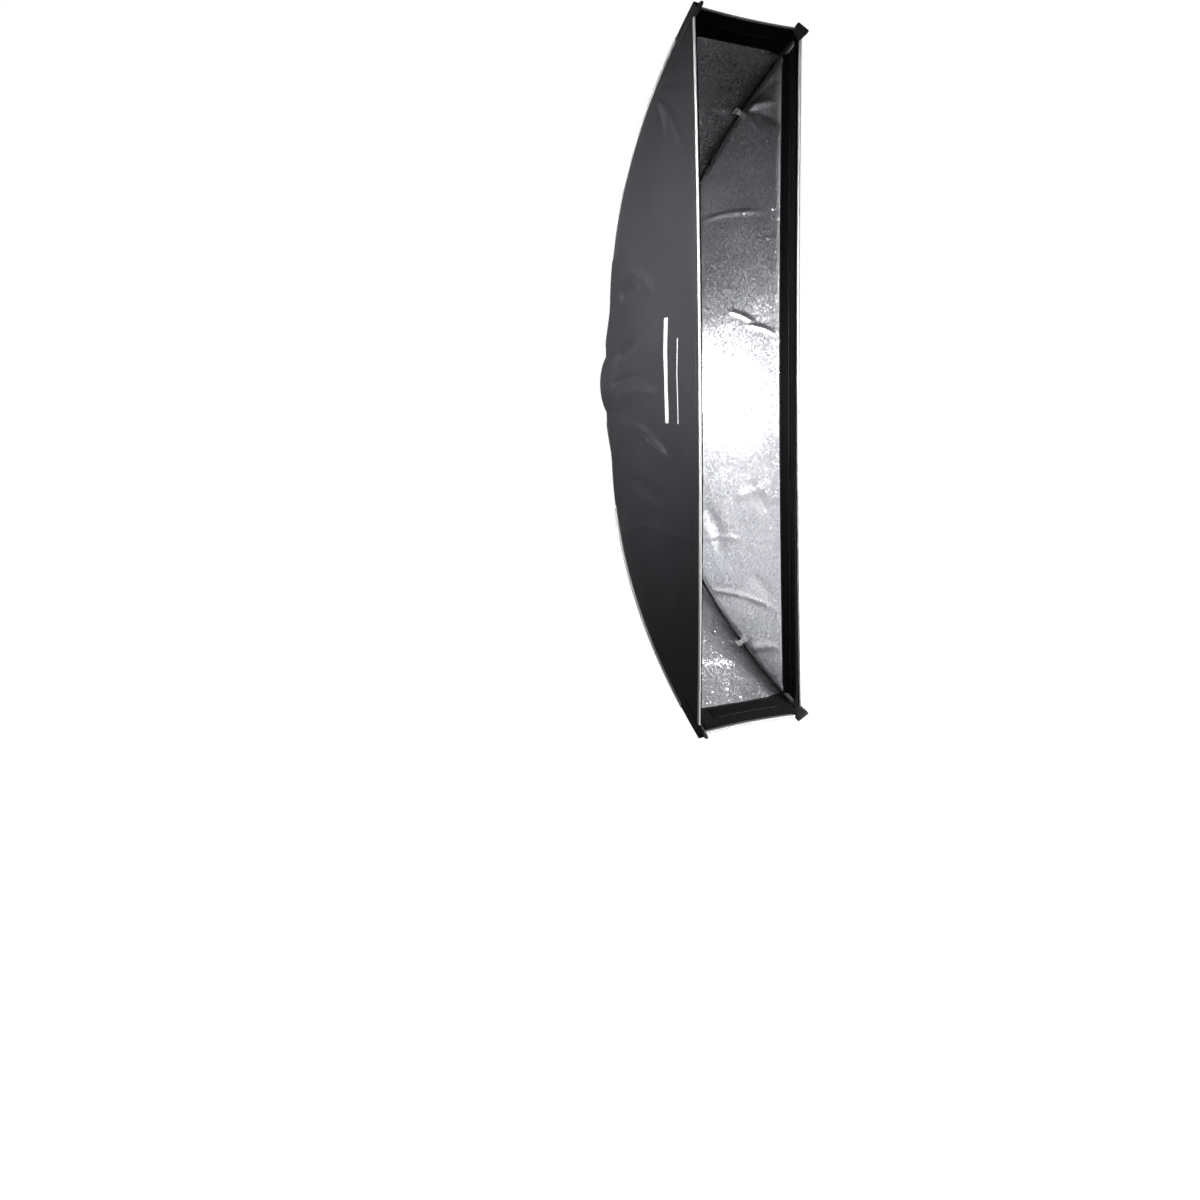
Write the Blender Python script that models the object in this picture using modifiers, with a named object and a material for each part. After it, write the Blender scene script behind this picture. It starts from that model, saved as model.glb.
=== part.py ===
"""Strip softbox: a fabric shell on four sprung rods, carried by a speedring that turns on a bayonet insert.

Metres, +Z up. The origin is on the optical axis, on the flange's seat on the lamp.
The lamp shines along -Y, and the long side of the strip stands along Z.
"""

import math

import bmesh
import bpy
from mathutils import Matrix, Vector

MM = 0.001
GAP = 0.5 * MM  # between two pieces that touch on the real softbox

# The shell's overall shape
RIM_WIDTH = 300 * MM
RIM_HEIGHT = 1400 * MM
SEAT_TO_RIM = 365.5 * MM  # lamp's seat to the plane of the front rim
NECK_SETBACK = 1.5 * MM  # lamp's seat to the deepest point of the sewn seams
NECK_SIDE_SETBACK = 6.5 * MM  # and to the neck's edge beside the ring
SEAM_BOW = 2.25  # the power of z that the rods bend to
SPLAY = 0.76  # straight share of the rods' spread in x, the rest is bow
NECK_ROOM = 4 * MM  # speedring to the neck's cloth, for the elastic hem
NECK_HALF_HEIGHT = 60 * MM  # the seams start this high on the neck

# Cloth
CLOTH = 1.2 * MM
LINING = 0.8 * MM
CORNER_TRIM = 4 * MM
LINING_TRIM = 5 * MM
LINING_CORNER_TRIM = 12 * MM
LIP_DEPTH = 40 * MM
LIP_CLOTH = 1.0 * MM
HEM_HEIGHT = 8 * MM  # how far the folded rim hem stands in from the wall
LIP_CORNER_RISE = 7.5 * MM
LIP_CORNER_REACH = 60 * MM
LIP_CORNER_GAP = 26 * MM
TAPE_START = 11 * MM
TAPE_END = 37 * MM
TAPE = 1.0 * MM
PIPING_RADIUS = 2 * MM
RIM_PIPING_TRIM = 30 * MM
POCKET_LENGTH = 50 * MM
POCKET_LEG = 20 * MM  # how far the pocket reaches down each wall where it starts
POCKET_END_LEG = 15 * MM  # and at the rim
POCKET_CLOTH = 1.6 * MM
NOSE_WIDTH = 28 * MM
NOSE_THICKNESS = 9 * MM
NOSE_LENGTH = 7 * MM
NOSE_BEVEL = 2 * MM
FLAP_START = 80 * MM
FLAP_END = 258 * MM
FLAP_WIDTH = 29 * MM
FLAP_TO_PIPING = 4 * MM
HEM_ELASTIC_RADIUS = 1.3 * MM

# Rods
ROD_RADIUS = 3 * MM
ROD_FIT = 0.3 * MM
ROD_BURIED = 4 * MM
TIP_WALL = 0.9 * MM
TIP_LENGTH = 13 * MM
TIP_END_WALL = 2 * MM
LOOP_HEIGHT = 560 * MM
LOOP_WIDTH = 12 * MM
LOOP_WALL = 1.2 * MM

# Speedring and bayonet insert
BORE_RADIUS = 49 * MM
COLLAR_RADIUS = 60 * MM
FLANGE_RADIUS = 66.5 * MM
FLANGE = 3 * MM
SEAT_WIDTH = 4 * MM  # the raised rim of the flange, which meets the lamp
SEAT_STEP = 0.5 * MM
RUNNING_GAP = 0.3 * MM
RING_RADIUS = 73.5 * MM
RING_HEIGHT = 24 * MM
RING_CHAMFER = 1.5 * MM
RETAINER = 3 * MM
LUG_COUNT = 3
LUG_ANGLE = math.radians(26)
LUG_LEDGE = 4 * MM  # bore to the lugs' inner side
LUG_WALL = 3 * MM
LUG_HEIGHT = 9.5 * MM
LUG_HOOK = 5.5 * MM
LUG_HOOK_WALL = 3.2 * MM
SCREW_COUNT = 4
SCREW_RADIUS = 1.5 * MM
SCREW_HEAD_RADIUS = 2.9 * MM
SCREW_HEAD = 2 * MM
SCREW_LENGTH = 9 * MM
SOCKET_BOSS_WALL = 2.5 * MM
SOCKET_BOSS_ROOM = 5 * MM  # boss to the outer skin
SOCKET_WALL = 1.4 * MM
SOCKET_REACH = 20 * MM
SOCKET_LIP = 1.5 * MM
SOCKET_LIP_STEP = 1.6 * MM  # how far the rolled lip stands out from the sleeve
LOCK_BOSS_RADIUS = 6.5 * MM
LOCK_BOSS_RISE = 5.5 * MM
LOCK_STUD_RADIUS = 3 * MM
LOCK_KNOB_RADIUS = 10 * MM
LOCK_KNOB_LOBE = 1.2 * MM
LOCK_KNOB_LOBES = 6
LOCK_KNOB_HEIGHT = 16 * MM
LOCK_KNOB_LIFT = 4 * MM  # boss to knob with the screw tight
LOCK_STUD_SOCKET = 10 * MM

RIM_Y = -SEAT_TO_RIM
FABRIC_DEPTH = SEAT_TO_RIM - NECK_SETBACK  # rim to the deepest point of the sewn seams
NECK_SIDE_DEPTH = SEAT_TO_RIM - NECK_SIDE_SETBACK
NECK_RADIUS = RING_RADIUS + NECK_ROOM
SEAM_CLOSED_FROM = FLAP_END + FLAP_TO_PIPING  # piping above this height, a hook-and-loop flap below it
HALF_HEIGHT = RIM_HEIGHT / 2
HALF_WIDTH = RIM_WIDTH / 2
NECK_X = math.sqrt(NECK_RADIUS**2 - NECK_HALF_HEIGHT**2)
POCKET_START = 1 - POCKET_LENGTH / (HALF_HEIGHT - NECK_HALF_HEIGHT)
RING_REAR = -FLANGE - RUNNING_GAP
RING_FRONT = RING_REAR - RING_HEIGHT
RETAINER_REAR = RING_FRONT - 2 * RUNNING_GAP
LAYERS = CLOTH + LINING + 2 * GAP
ROD_CLEARANCE = LAYERS + GAP + LOOP_WALL + ROD_FIT + ROD_RADIUS  # outer skin to the rod's centre
SOCKET_BORE_RADIUS = ROD_RADIUS + ROD_FIT + SOCKET_WALL + ROD_FIT
SOCKET_BOSS_RADIUS = SOCKET_BORE_RADIUS + SOCKET_BOSS_WALL
ROD_ROOT_CLEARANCE = SOCKET_BOSS_RADIUS + SOCKET_BOSS_ROOM
TIP_RADIUS = ROD_RADIUS + ROD_FIT + TIP_WALL
SCREW_CIRCLE = (BORE_RADIUS + COLLAR_RADIUS) / 2
LUG_RADIUS = BORE_RADIUS + LUG_LEDGE
LOCK_OFFSET = -RING_FRONT - LOCK_BOSS_RADIUS - RUNNING_GAP  # seat to the lock screws' axis
LOCK_BOSS_TOP = RING_RADIUS + LOCK_BOSS_RISE
LOCK_STUD_TOP = LOCK_BOSS_TOP + LOCK_KNOB_LIFT + LOCK_STUD_SOCKET
MOST = 1e-6
SIDE_ROWS = 32
END_ROWS = 18
END_COLUMNS = 8

for old in list(bpy.data.objects):
    bpy.data.objects.remove(old, do_unlink=True)
PARTS = bpy.data.collections.new("strip_softbox")
CUTTERS = bpy.data.collections.new("cutters")
for made in (PARTS, CUTTERS):
    bpy.context.scene.collection.children.link(made)


# ---------------------------------------------------------------- materials
def finish(name, colour, roughness, metallic=0.0):
    material = bpy.data.materials.new(name)
    material.use_nodes = True
    shader = material.node_tree.nodes["Principled BSDF"]
    shader.inputs["Base Color"].default_value = (*colour, 1)
    shader.inputs["Roughness"].default_value = roughness
    shader.inputs["Metallic"].default_value = metallic
    return material


BLACK_CLOTH = finish("black_cloth", (0.035, 0.035, 0.038), 0.8)
SILVER_CLOTH = finish("silver_cloth", (0.62, 0.62, 0.64), 0.32, 0.85)
LIP_CLOTH_BLACK = finish("lip_cloth", (0.02, 0.02, 0.02), 0.85)
LOOP_PILE = finish("loop_pile", (0.008, 0.008, 0.008), 0.95)
PIPING = finish("piping", (0.62, 0.62, 0.62), 0.6)
WEBBING = finish("webbing", (0.022, 0.022, 0.022), 0.8)
ELASTIC = finish("white_elastic", (0.75, 0.75, 0.75), 0.7)
BLACK_ELASTIC = finish("black_elastic", (0.02, 0.02, 0.02), 0.8)
ROD_BLACK = finish("rod_black", (0.015, 0.015, 0.015), 0.35)
RUBBER = finish("tip_rubber", (0.02, 0.02, 0.02), 0.7)
ANODISED = finish("black_anodised", (0.02, 0.02, 0.022), 0.4, 0.6)
ALUMINIUM = finish("bare_aluminium", (0.75, 0.75, 0.76), 0.3, 1.0)
STEEL = finish("zinc_steel", (0.6, 0.6, 0.6), 0.3, 1.0)
KNOB_PLASTIC = finish("knob_plastic", (0.02, 0.02, 0.02), 0.45)


# ---------------------------------------------------------------- object helpers
def add(name, data, material, parent=None):
    obj = bpy.data.objects.new(name, data)
    PARTS.objects.link(obj)
    data.materials.clear()
    data.materials.append(material)
    obj.parent = parent
    return obj


def empty(name, place):
    obj = bpy.data.objects.new(name, None)
    PARTS.objects.link(obj)
    obj.location = place
    return obj


def cutter(name, data, matrix):
    obj = bpy.data.objects.new(name, data)
    CUTTERS.objects.link(obj)
    obj.matrix_world = matrix
    obj.hide_render = True
    obj.display_type = "WIRE"
    return obj


def boolean(obj, other, operation):
    modifier = obj.modifiers.new(other.name, "BOOLEAN")
    modifier.operation = operation
    modifier.object = other


def aim(direction, place):
    """A matrix that stands a local +Z on this direction at this place."""
    return Matrix.Translation(place) @ direction.to_track_quat("Z", "Y").to_matrix().to_4x4()


def cylinder_mesh(name, radius, low, high, sides=24, chamfer=0.0):
    """A rod along +Z between two heights."""
    bm = bmesh.new()
    bmesh.ops.create_cone(bm, cap_ends=True, segments=sides, radius1=radius, radius2=radius, depth=high - low)
    bmesh.ops.translate(bm, verts=bm.verts, vec=(0, 0, (low + high) / 2))
    if chamfer:
        rims = [e for e in bm.edges if abs(e.verts[0].co.z - e.verts[1].co.z) < MOST]
        bmesh.ops.bevel(bm, geom=rims, offset=chamfer, segments=1, affect="EDGES")
    return mesh_from(bm, name)


def mesh_from(bm, name):
    mesh = bpy.data.meshes.new(name)
    bm.to_mesh(mesh)
    bm.free()
    mesh.shade_smooth()
    mesh.set_sharp_from_angle(angle=math.radians(35))
    return mesh


def turned(name, profile, material, steps=48, parent=None):
    """A ring turned about Y. The profile is (radius, y) points, down the outer side first."""
    mesh = bpy.data.meshes.new(name)
    count = len(profile)
    mesh.from_pydata(
        [(radius, 0, y) for radius, y in profile],
        [(i, (i + 1) % count) for i in range(count)],
        [],
    )
    obj = add(name, mesh, material, parent)
    obj.rotation_euler = (-math.pi / 2, 0, 0)
    screw = obj.modifiers.new("turn", "SCREW")
    screw.axis = "Z"
    screw.steps = steps
    screw.render_steps = steps
    screw.use_merge_vertices = True
    screw.merge_threshold = 0.00001
    screw.use_smooth_shade = True
    return obj


def tube_data(name, points, radius, closed=False, sides_step=2):
    curve = bpy.data.curves.new(name, "CURVE")
    curve.dimensions = "3D"
    curve.bevel_depth = radius
    curve.bevel_resolution = sides_step
    curve.use_fill_caps = not closed
    line = curve.splines.new("POLY")
    line.points.add(len(points) - 1)
    line.use_cyclic_u = closed
    for point, place in zip(line.points, points):
        point.co = (*place, 1)
    return curve


def tube(name, points, radius, material, closed=False):
    return add(name, tube_data(name, points, radius, closed), material)


def sheet_mesh(name, rows, columns, place, side_x=1, side_z=1, push=0.0):
    """An open sheet, place(u, v) with u and v from 0 to 1, moved along its normals by push, then mirrored."""
    bm = bmesh.new()
    bmesh.ops.create_grid(bm, x_segments=rows, y_segments=columns, size=0.5)
    for vertex in bm.verts:
        vertex.co = place(vertex.co.x + 0.5, vertex.co.y + 0.5)
    bm.normal_update()
    moves = [vertex.normal * push for vertex in bm.verts]
    for vertex, move in zip(bm.verts, moves):
        vertex.co += move
    mirror = Matrix.Diagonal((side_x, 1, side_z, 1))
    bmesh.ops.transform(bm, matrix=mirror, verts=bm.verts)
    if side_x * side_z < 0:
        bmesh.ops.reverse_faces(bm, faces=bm.faces)
    return mesh_from(bm, name)


def shell(name, mesh, thickness, material, outward=False, parent=None):
    """The sheet given its cloth's thickness, behind its outer face unless outward."""
    obj = add(name, mesh, material, parent)
    solid = obj.modifiers.new("cloth", "SOLIDIFY")
    solid.thickness = thickness
    solid.offset = 1 if outward else -1
    return obj


# ---------------------------------------------------------------- the shell's surfaces
def seam(s):
    """The outer skin's corner along the top right rod, from the neck at 0 to the rim at 1."""
    z = NECK_HALF_HEIGHT + (HALF_HEIGHT - NECK_HALF_HEIGHT) * s
    x = NECK_X + (HALF_WIDTH - NECK_X) * (SPLAY * s + (1 - SPLAY) * s * s)
    y = RIM_Y + FABRIC_DEPTH * (1 - (z / HALF_HEIGHT) ** SEAM_BOW)
    return Vector((x, y, z))


def seam_share(z):
    return (z - NECK_HALF_HEIGHT) / (HALF_HEIGHT - NECK_HALF_HEIGHT)


def seam_tangent(s):
    step = 1e-4
    return (seam(s + step) - seam(s - step)).normalized()


def end_wall_normal(s):
    """Outward from the top wall, which is level across x."""
    along = seam_tangent(s)
    return Vector((0, along.z, -along.y)).normalized()


def back_edge(z):
    """Where a side wall ends at the back: on the seam, or round the neck near the ring."""
    height = abs(z)
    if height >= NECK_HALF_HEIGHT:
        point = seam(seam_share(height))
        return Vector((point.x, point.y, z))
    side_y = RIM_Y + NECK_SIDE_DEPTH
    share = height / NECK_HALF_HEIGHT
    y = side_y + (seam(0).y - side_y) * share**2
    return Vector((math.sqrt(NECK_RADIUS**2 - z * z), y, z))


def side_wall(z, depth):
    """The right wall's outer skin at a depth behind the rim."""
    front = Vector((HALF_WIDTH, RIM_Y, z))
    back = back_edge(z)
    return front.lerp(back, depth / (back.y - front.y))


def wall_reach(z):
    return back_edge(z).y - RIM_Y


def end_wall(s, u, inset):
    """The top wall's outer skin, u from -1 to 1 across it."""
    corner = seam(s)
    across = u * (corner.x - inset)
    rise = math.sqrt(NECK_RADIUS**2 - (u * (NECK_X - inset)) ** 2) - NECK_HALF_HEIGHT
    return Vector((across, corner.y, corner.z + rise * (1 - s) ** 8))


def end_wall_height(depth):
    """How high the top wall is at a depth behind the rim."""
    return HALF_HEIGHT * (1 - depth / FABRIC_DEPTH) ** (1 / SEAM_BOW)


def side_wall_normal(s):
    corner = seam(s)
    along = seam_tangent(s)
    inward = Vector((HALF_WIDTH, RIM_Y, corner.z)) - corner
    if inward.length < MOST:
        inward = Vector((HALF_WIDTH - seam(s - 0.02).x, -1 * MM, 0))
    inward = (inward - inward.dot(along) * along).normalized()
    normal = along.cross(inward).normalized()
    return (normal if normal.x > 0 else -normal), inward


def rod_line(s):
    """The rod's centre, inside the corner of the shell."""
    clearance = ROD_CLEARANCE + (ROD_ROOT_CLEARANCE - ROD_CLEARANCE) * (1 - s) ** 6
    return seam(s) - clearance * (Vector((1, 0, 0)) + end_wall_normal(s))


ROD_ROOT = rod_line(0)
ROD_ROOT_AIM = (rod_line(0.01) - rod_line(0)).normalized()
ROD_END = rod_line(1)
ROD_END_AIM = (rod_line(1) - rod_line(0.99)).normalized()
CORNERS = [
    (up + "_" + side, side_x, side_z)
    for up, side_z in (("top", 1), ("bottom", -1))
    for side, side_x in (("left", -1), ("right", 1))
]
SIDES = (("left", -1), ("right", 1))
ENDS = (("top", 1), ("bottom", -1))


def mirrored(point, side_x, side_z):
    return Vector((point.x * side_x, point.y, point.z * side_z))


# ---------------------------------------------------------------- bayonet insert
def lug_mesh(angle):
    """One hook of the bayonet, an L in section, swept round the axis behind the flange."""
    bm = bmesh.new()
    root = -FLANGE / 2
    inner, outer = LUG_RADIUS, LUG_RADIUS + LUG_WALL
    hook = outer + LUG_HOOK
    outline = [
        (inner, root),
        (outer, root),
        (outer, LUG_HEIGHT - LUG_HOOK_WALL),
        (hook, LUG_HEIGHT - LUG_HOOK_WALL),
        (hook, LUG_HEIGHT),
        (inner, LUG_HEIGHT),
    ]
    face = bm.faces.new([bm.verts.new((radius, y, 0)) for radius, y in outline])
    turn = Matrix.Rotation(angle - LUG_ANGLE / 2, 3, "Y")
    bmesh.ops.rotate(bm, verts=bm.verts, cent=(0, 0, 0), matrix=turn)
    bmesh.ops.spin(
        bm, geom=[face, *face.edges, *face.verts], axis=(0, 1, 0), cent=(0, 0, 0), angle=LUG_ANGLE, steps=6
    )
    bmesh.ops.remove_doubles(bm, verts=bm.verts, dist=MOST)
    bmesh.ops.recalc_face_normals(bm, faces=bm.faces)
    return mesh_from(bm, "lug")


def screw_places():
    for index in range(SCREW_COUNT):
        angle = math.tau * (index + 0.5) / SCREW_COUNT
        yield Vector((SCREW_CIRCLE * math.cos(angle), 0, SCREW_CIRCLE * math.sin(angle)))


def bayonet_insert():
    collar_front = RING_FRONT - RUNNING_GAP
    plate = turned(
        "bayonet_plate",
        [
            (FLANGE_RADIUS, 0),
            (FLANGE_RADIUS, -FLANGE),
            (COLLAR_RADIUS, -FLANGE),
            (COLLAR_RADIUS, collar_front),
            (BORE_RADIUS, collar_front),
            (BORE_RADIUS, -SEAT_STEP),
            (FLANGE_RADIUS - SEAT_WIDTH, -SEAT_STEP),
            (FLANGE_RADIUS - SEAT_WIDTH, 0),
        ],
        ALUMINIUM,
    )
    for index in range(LUG_COUNT):
        lug = cutter("lug_%d" % index, lug_mesh(math.tau * index / LUG_COUNT), Matrix())
        boolean(plate, lug, "UNION")
    retainer = turned(
        "retaining_ring",
        [
            (FLANGE_RADIUS, RETAINER_REAR),
            (FLANGE_RADIUS, RETAINER_REAR - RETAINER),
            (BORE_RADIUS, RETAINER_REAR - RETAINER),
            (BORE_RADIUS, RETAINER_REAR),
        ],
        ANODISED,
    )
    head_seat = RETAINER_REAR - RETAINER - RUNNING_GAP
    hole_end = head_seat + SCREW_LENGTH + GAP
    for index, place in enumerate(screw_places()):
        rear = aim(Vector((0, 1, 0)), place)
        hole = cutter(
            "screw_hole_%d" % index,
            cylinder_mesh("screw_hole", SCREW_RADIUS + ROD_FIT, head_seat - 5 * MM, hole_end, 16),
            rear,
        )
        boolean(plate, hole, "DIFFERENCE")
        boolean(retainer, hole, "DIFFERENCE")
        screw = add("retaining_screw_%d" % (index + 1), retaining_screw_mesh(head_seat), STEEL)
        screw.matrix_world = rear


def retaining_screw_mesh(head_seat):
    """A pan head screw along local Z, its head in front of the retaining ring, with a hex socket."""
    return stepped_mesh(
        "retaining_screw",
        [
            (SCREW_RADIUS, head_seat + SCREW_LENGTH),
            (SCREW_RADIUS, head_seat),
            (SCREW_HEAD_RADIUS, head_seat),
            (SCREW_HEAD_RADIUS, head_seat - 0.6 * SCREW_HEAD),
            (0.7 * SCREW_HEAD_RADIUS, head_seat - SCREW_HEAD),
            (0.45 * SCREW_HEAD_RADIUS, head_seat - SCREW_HEAD),
            (0.45 * SCREW_HEAD_RADIUS, head_seat - 0.4 * SCREW_HEAD),
        ],
        12,
    )


def stepped_mesh(name, profile, sides):
    """A closed solid turned about local Z from (radius, height) points, with a flat cap at each end."""
    bm = bmesh.new()
    rings = []
    for radius, height in profile:
        angles = [math.tau * index / sides for index in range(sides)]
        rings.append([bm.verts.new((radius * math.cos(a), radius * math.sin(a), height)) for a in angles])
    for low, high in zip(rings, rings[1:]):
        for index in range(sides):
            after = (index + 1) % sides
            bm.faces.new((low[index], low[after], high[after], high[index]))
    bm.faces.new(rings[0])
    bm.faces.new(rings[-1])
    bmesh.ops.recalc_face_normals(bm, faces=bm.faces)
    return mesh_from(bm, name)


# ---------------------------------------------------------------- speedring
def speedring(parent):
    ring = turned(
        "speedring",
        [
            (RING_RADIUS - RING_CHAMFER, RING_REAR),
            (RING_RADIUS, RING_REAR - RING_CHAMFER),
            (RING_RADIUS, RING_FRONT + RING_CHAMFER),
            (RING_RADIUS - RING_CHAMFER, RING_FRONT),
            (COLLAR_RADIUS + RUNNING_GAP, RING_FRONT),
            (COLLAR_RADIUS + RUNNING_GAP, RING_REAR),
        ],
        ANODISED,
        parent=parent,
    )
    for name, side_x, side_z in CORNERS:
        stand = aim(mirrored(ROD_ROOT_AIM, side_x, side_z), mirrored(ROD_ROOT, side_x, side_z))
        boss = cylinder_mesh("boss", SOCKET_BOSS_RADIUS, -6 * MM, SOCKET_REACH, 24, 1 * MM)
        boolean(ring, cutter("boss_" + name, boss, stand), "UNION")
    for name, side_z in ENDS:
        stand = lock_stand(side_z)
        boss = cylinder_mesh("lock_boss", LOCK_BOSS_RADIUS, COLLAR_RADIUS + 3 * MM, LOCK_BOSS_TOP, 24, 1 * MM)
        boolean(ring, cutter("lock_boss_" + name, boss, stand), "UNION")
    for name, side_x, side_z in CORNERS:
        stand = aim(mirrored(ROD_ROOT_AIM, side_x, side_z), mirrored(ROD_ROOT, side_x, side_z))
        bore = cylinder_mesh("bore", SOCKET_BORE_RADIUS, -ROD_BURIED - GAP, SOCKET_REACH + 5 * MM, 20)
        boolean(ring, cutter("bore_" + name, bore, stand), "DIFFERENCE")
    for name, side_z in ENDS:
        hole = cylinder_mesh("lock_hole", LOCK_STUD_RADIUS + ROD_FIT, BORE_RADIUS, LOCK_BOSS_TOP + 5 * MM, 20)
        boolean(ring, cutter("lock_hole_" + name, hole, lock_stand(side_z)), "DIFFERENCE")


def lock_stand(side_z):
    return aim(Vector((0, 0, side_z)), Vector((0, -LOCK_OFFSET, 0)))


def rod_sockets(parent):
    """Steel sleeves pressed into the ring's four bosses, which the rods plug into."""
    inner = ROD_RADIUS + ROD_FIT
    outer = inner + SOCKET_WALL
    low, high = -ROD_BURIED, SOCKET_REACH + GAP
    profile = [
        (outer + SOCKET_LIP_STEP, high + SOCKET_LIP),
        (outer + SOCKET_LIP_STEP, high),
        (outer, high),
        (outer, low),
        (inner, low),
        (inner, high + SOCKET_LIP),
    ]
    for name, side_x, side_z in CORNERS:
        sleeve = turned("rod_socket_" + name, profile, STEEL, 16, parent)
        sleeve.matrix_world = aim(mirrored(ROD_ROOT_AIM, side_x, side_z), mirrored(ROD_ROOT, side_x, side_z))


def knob_mesh():
    """A lobed knob along local Z, with a blind hole for its stud."""
    bm = bmesh.new()
    points = 48
    low = LOCK_BOSS_TOP + LOCK_KNOB_LIFT
    outline = []
    for index in range(points):
        angle = math.tau * index / points
        radius = LOCK_KNOB_RADIUS + LOCK_KNOB_LOBE * math.cos(LOCK_KNOB_LOBES * angle)
        outline.append(bm.verts.new((radius * math.cos(angle), radius * math.sin(angle), low)))
    face = bm.faces.new(outline)
    top = bmesh.ops.extrude_face_region(bm, geom=[face])
    raised = [v for v in top["geom"] if isinstance(v, bmesh.types.BMVert)]
    bmesh.ops.translate(bm, verts=raised, vec=(0, 0, LOCK_KNOB_HEIGHT))
    bmesh.ops.recalc_face_normals(bm, faces=bm.faces)
    rims = [e for e in bm.edges if abs(e.verts[0].co.z - e.verts[1].co.z) < MOST]
    bmesh.ops.bevel(bm, geom=rims, offset=1 * MM, segments=1, affect="EDGES")
    return mesh_from(bm, "knob")


def lock_screws():
    """Two screws that clamp the speedring to the insert's collar, one on each long end."""
    for name, side_z in ENDS:
        stand = lock_stand(side_z)
        pivot = empty("pivot_lock_" + name, (0, 0, 0))
        pivot.matrix_world = stand
        stud = add(
            "lock_stud_" + name,
            cylinder_mesh("stud", LOCK_STUD_RADIUS, COLLAR_RADIUS + RUNNING_GAP, LOCK_STUD_TOP, 20, 0.5 * MM),
            STEEL,
            pivot,
        )
        stud.matrix_parent_inverse = Matrix()
        knob = add("lock_knob_" + name, knob_mesh(), KNOB_PLASTIC, pivot)
        knob.matrix_parent_inverse = Matrix()
        blind = cylinder_mesh(
            "knob_hole", LOCK_STUD_RADIUS + ROD_FIT, LOCK_BOSS_TOP, LOCK_STUD_TOP + GAP, 20
        )
        boolean(knob, cutter("knob_hole_" + name, blind, stand), "DIFFERENCE")


# ---------------------------------------------------------------- rods
def rods():
    for name, side_x, side_z in CORNERS:
        steps = 26
        line = [ROD_ROOT - ROD_ROOT_AIM * (ROD_BURIED - GAP)]
        line += [rod_line(index / steps) for index in range(steps + 1)]
        line += [ROD_END + ROD_END_AIM * (TIP_LENGTH / 2 - TIP_END_WALL - GAP)]
        line = [mirrored(point, side_x, side_z) for point in line]
        tube("rod_" + name, line, ROD_RADIUS, ROD_BLACK)
        inner = ROD_RADIUS + ROD_FIT
        half = TIP_LENGTH / 2
        cap = turned_cap("rod_tip_" + name, inner, TIP_RADIUS, -half, half, TIP_END_WALL)
        cap.matrix_world = aim(mirrored(ROD_END_AIM, side_x, side_z), mirrored(ROD_END, side_x, side_z))


def turned_cap(name, inner, outer, low, high, end_wall_thickness):
    """A closed sleeve along local Z, open at its low end."""
    profile = [
        (outer * 0.7, high),
        (outer, high - 1 * MM),
        (outer, low),
        (inner, low),
        (inner, high - end_wall_thickness),
    ]
    return add(name, stepped_mesh(name, profile, 12), RUBBER)


def rod_loops():
    """White elastic loops, sewn into the seams, that keep the rods in the shell's corners."""
    s = seam_share(LOOP_HEIGHT)
    along = (rod_line(s + 0.01) - rod_line(s - 0.01)).normalized()
    inner = ROD_RADIUS + ROD_FIT
    outer = inner + LOOP_WALL
    half = LOOP_WIDTH / 2
    for name, side_x, side_z in CORNERS:
        loop = turned(
            "rod_loop_" + name, [(outer, half), (outer, -half), (inner, -half), (inner, half)], ELASTIC, 16
        )
        loop.matrix_world = aim(mirrored(along, side_x, side_z), mirrored(rod_line(s), side_x, side_z))


# ---------------------------------------------------------------- shell
def side_rows(u, trim):
    """Heights from one end of a side wall to the other, closer together round the neck and the corners.

    The middle rows stay put whatever the trim, so that the wall's layers never cross between two rows."""
    t = 2 * u - 1
    height = HALF_HEIGHT * (abs(t) - 0.6 * math.sin(math.tau * abs(t)) / math.tau)
    past = max(height - HALF_HEIGHT / 2, 0)
    return math.copysign(height - past * trim / (HALF_HEIGHT / 2), t)


def walls():
    for name, side_x in SIDES:

        def skin(u, v):
            z = side_rows(1 - u, CORNER_TRIM)
            return side_wall(z, v**1.3 * wall_reach(z))

        def lining(u, v):
            z = side_rows(1 - u, LINING_CORNER_TRIM)
            return side_wall(z, v**1.3 * (wall_reach(z) - LINING_TRIM))

        shell("side_wall_" + name, sheet_mesh("side_wall", SIDE_ROWS, 4, skin, side_x), CLOTH, BLACK_CLOTH)
        inner = sheet_mesh("side_lining", SIDE_ROWS, 4, lining, side_x, push=-CLOTH - GAP)
        shell("side_lining_" + name, inner, LINING, SILVER_CLOTH)
    wall_inset = CLOTH + 2 * GAP
    lining_inset = wall_inset + LINING + 3 * GAP
    for name, side_z in ENDS:

        def skin(u, v):
            return end_wall(u, 2 * v - 1, wall_inset)

        def lining(u, v):
            return end_wall(0.985 * u, 2 * v - 1, lining_inset)

        shell("end_wall_" + name, sheet_mesh("end_wall", END_ROWS, END_COLUMNS, skin, 1, side_z), CLOTH, BLACK_CLOTH)
        inner = sheet_mesh("end_lining", END_ROWS, END_COLUMNS, lining, 1, side_z, push=-CLOTH - GAP)
        shell("end_lining_" + name, inner, LINING, SILVER_CLOTH)


LIP_PROFILE = ((0.8, 0.4), (0.2, 4.5), (3.5, 8.0), (11.0, 7.5), (40.0, 1.2))  # depth and height in mm


def lip_height(depth):
    """How far the lip stands in from the lining at a depth behind the rim."""
    for (d0, h0), (d1, h1) in zip(LIP_PROFILE[1:], LIP_PROFILE[2:]):
        if depth <= d1 * MM or d1 == LIP_PROFILE[-1][0]:
            return (h0 + (h1 - h0) * (depth / MM - d0) / (d1 - d0)) * MM


def corner_rise(distance):
    """The lip stands further in near a corner, where the rod passes behind it."""
    t = min(max(1 - distance / LIP_CORNER_REACH, 0), 1)
    return LIP_CORNER_RISE * t * t * (3 - 2 * t)


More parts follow.
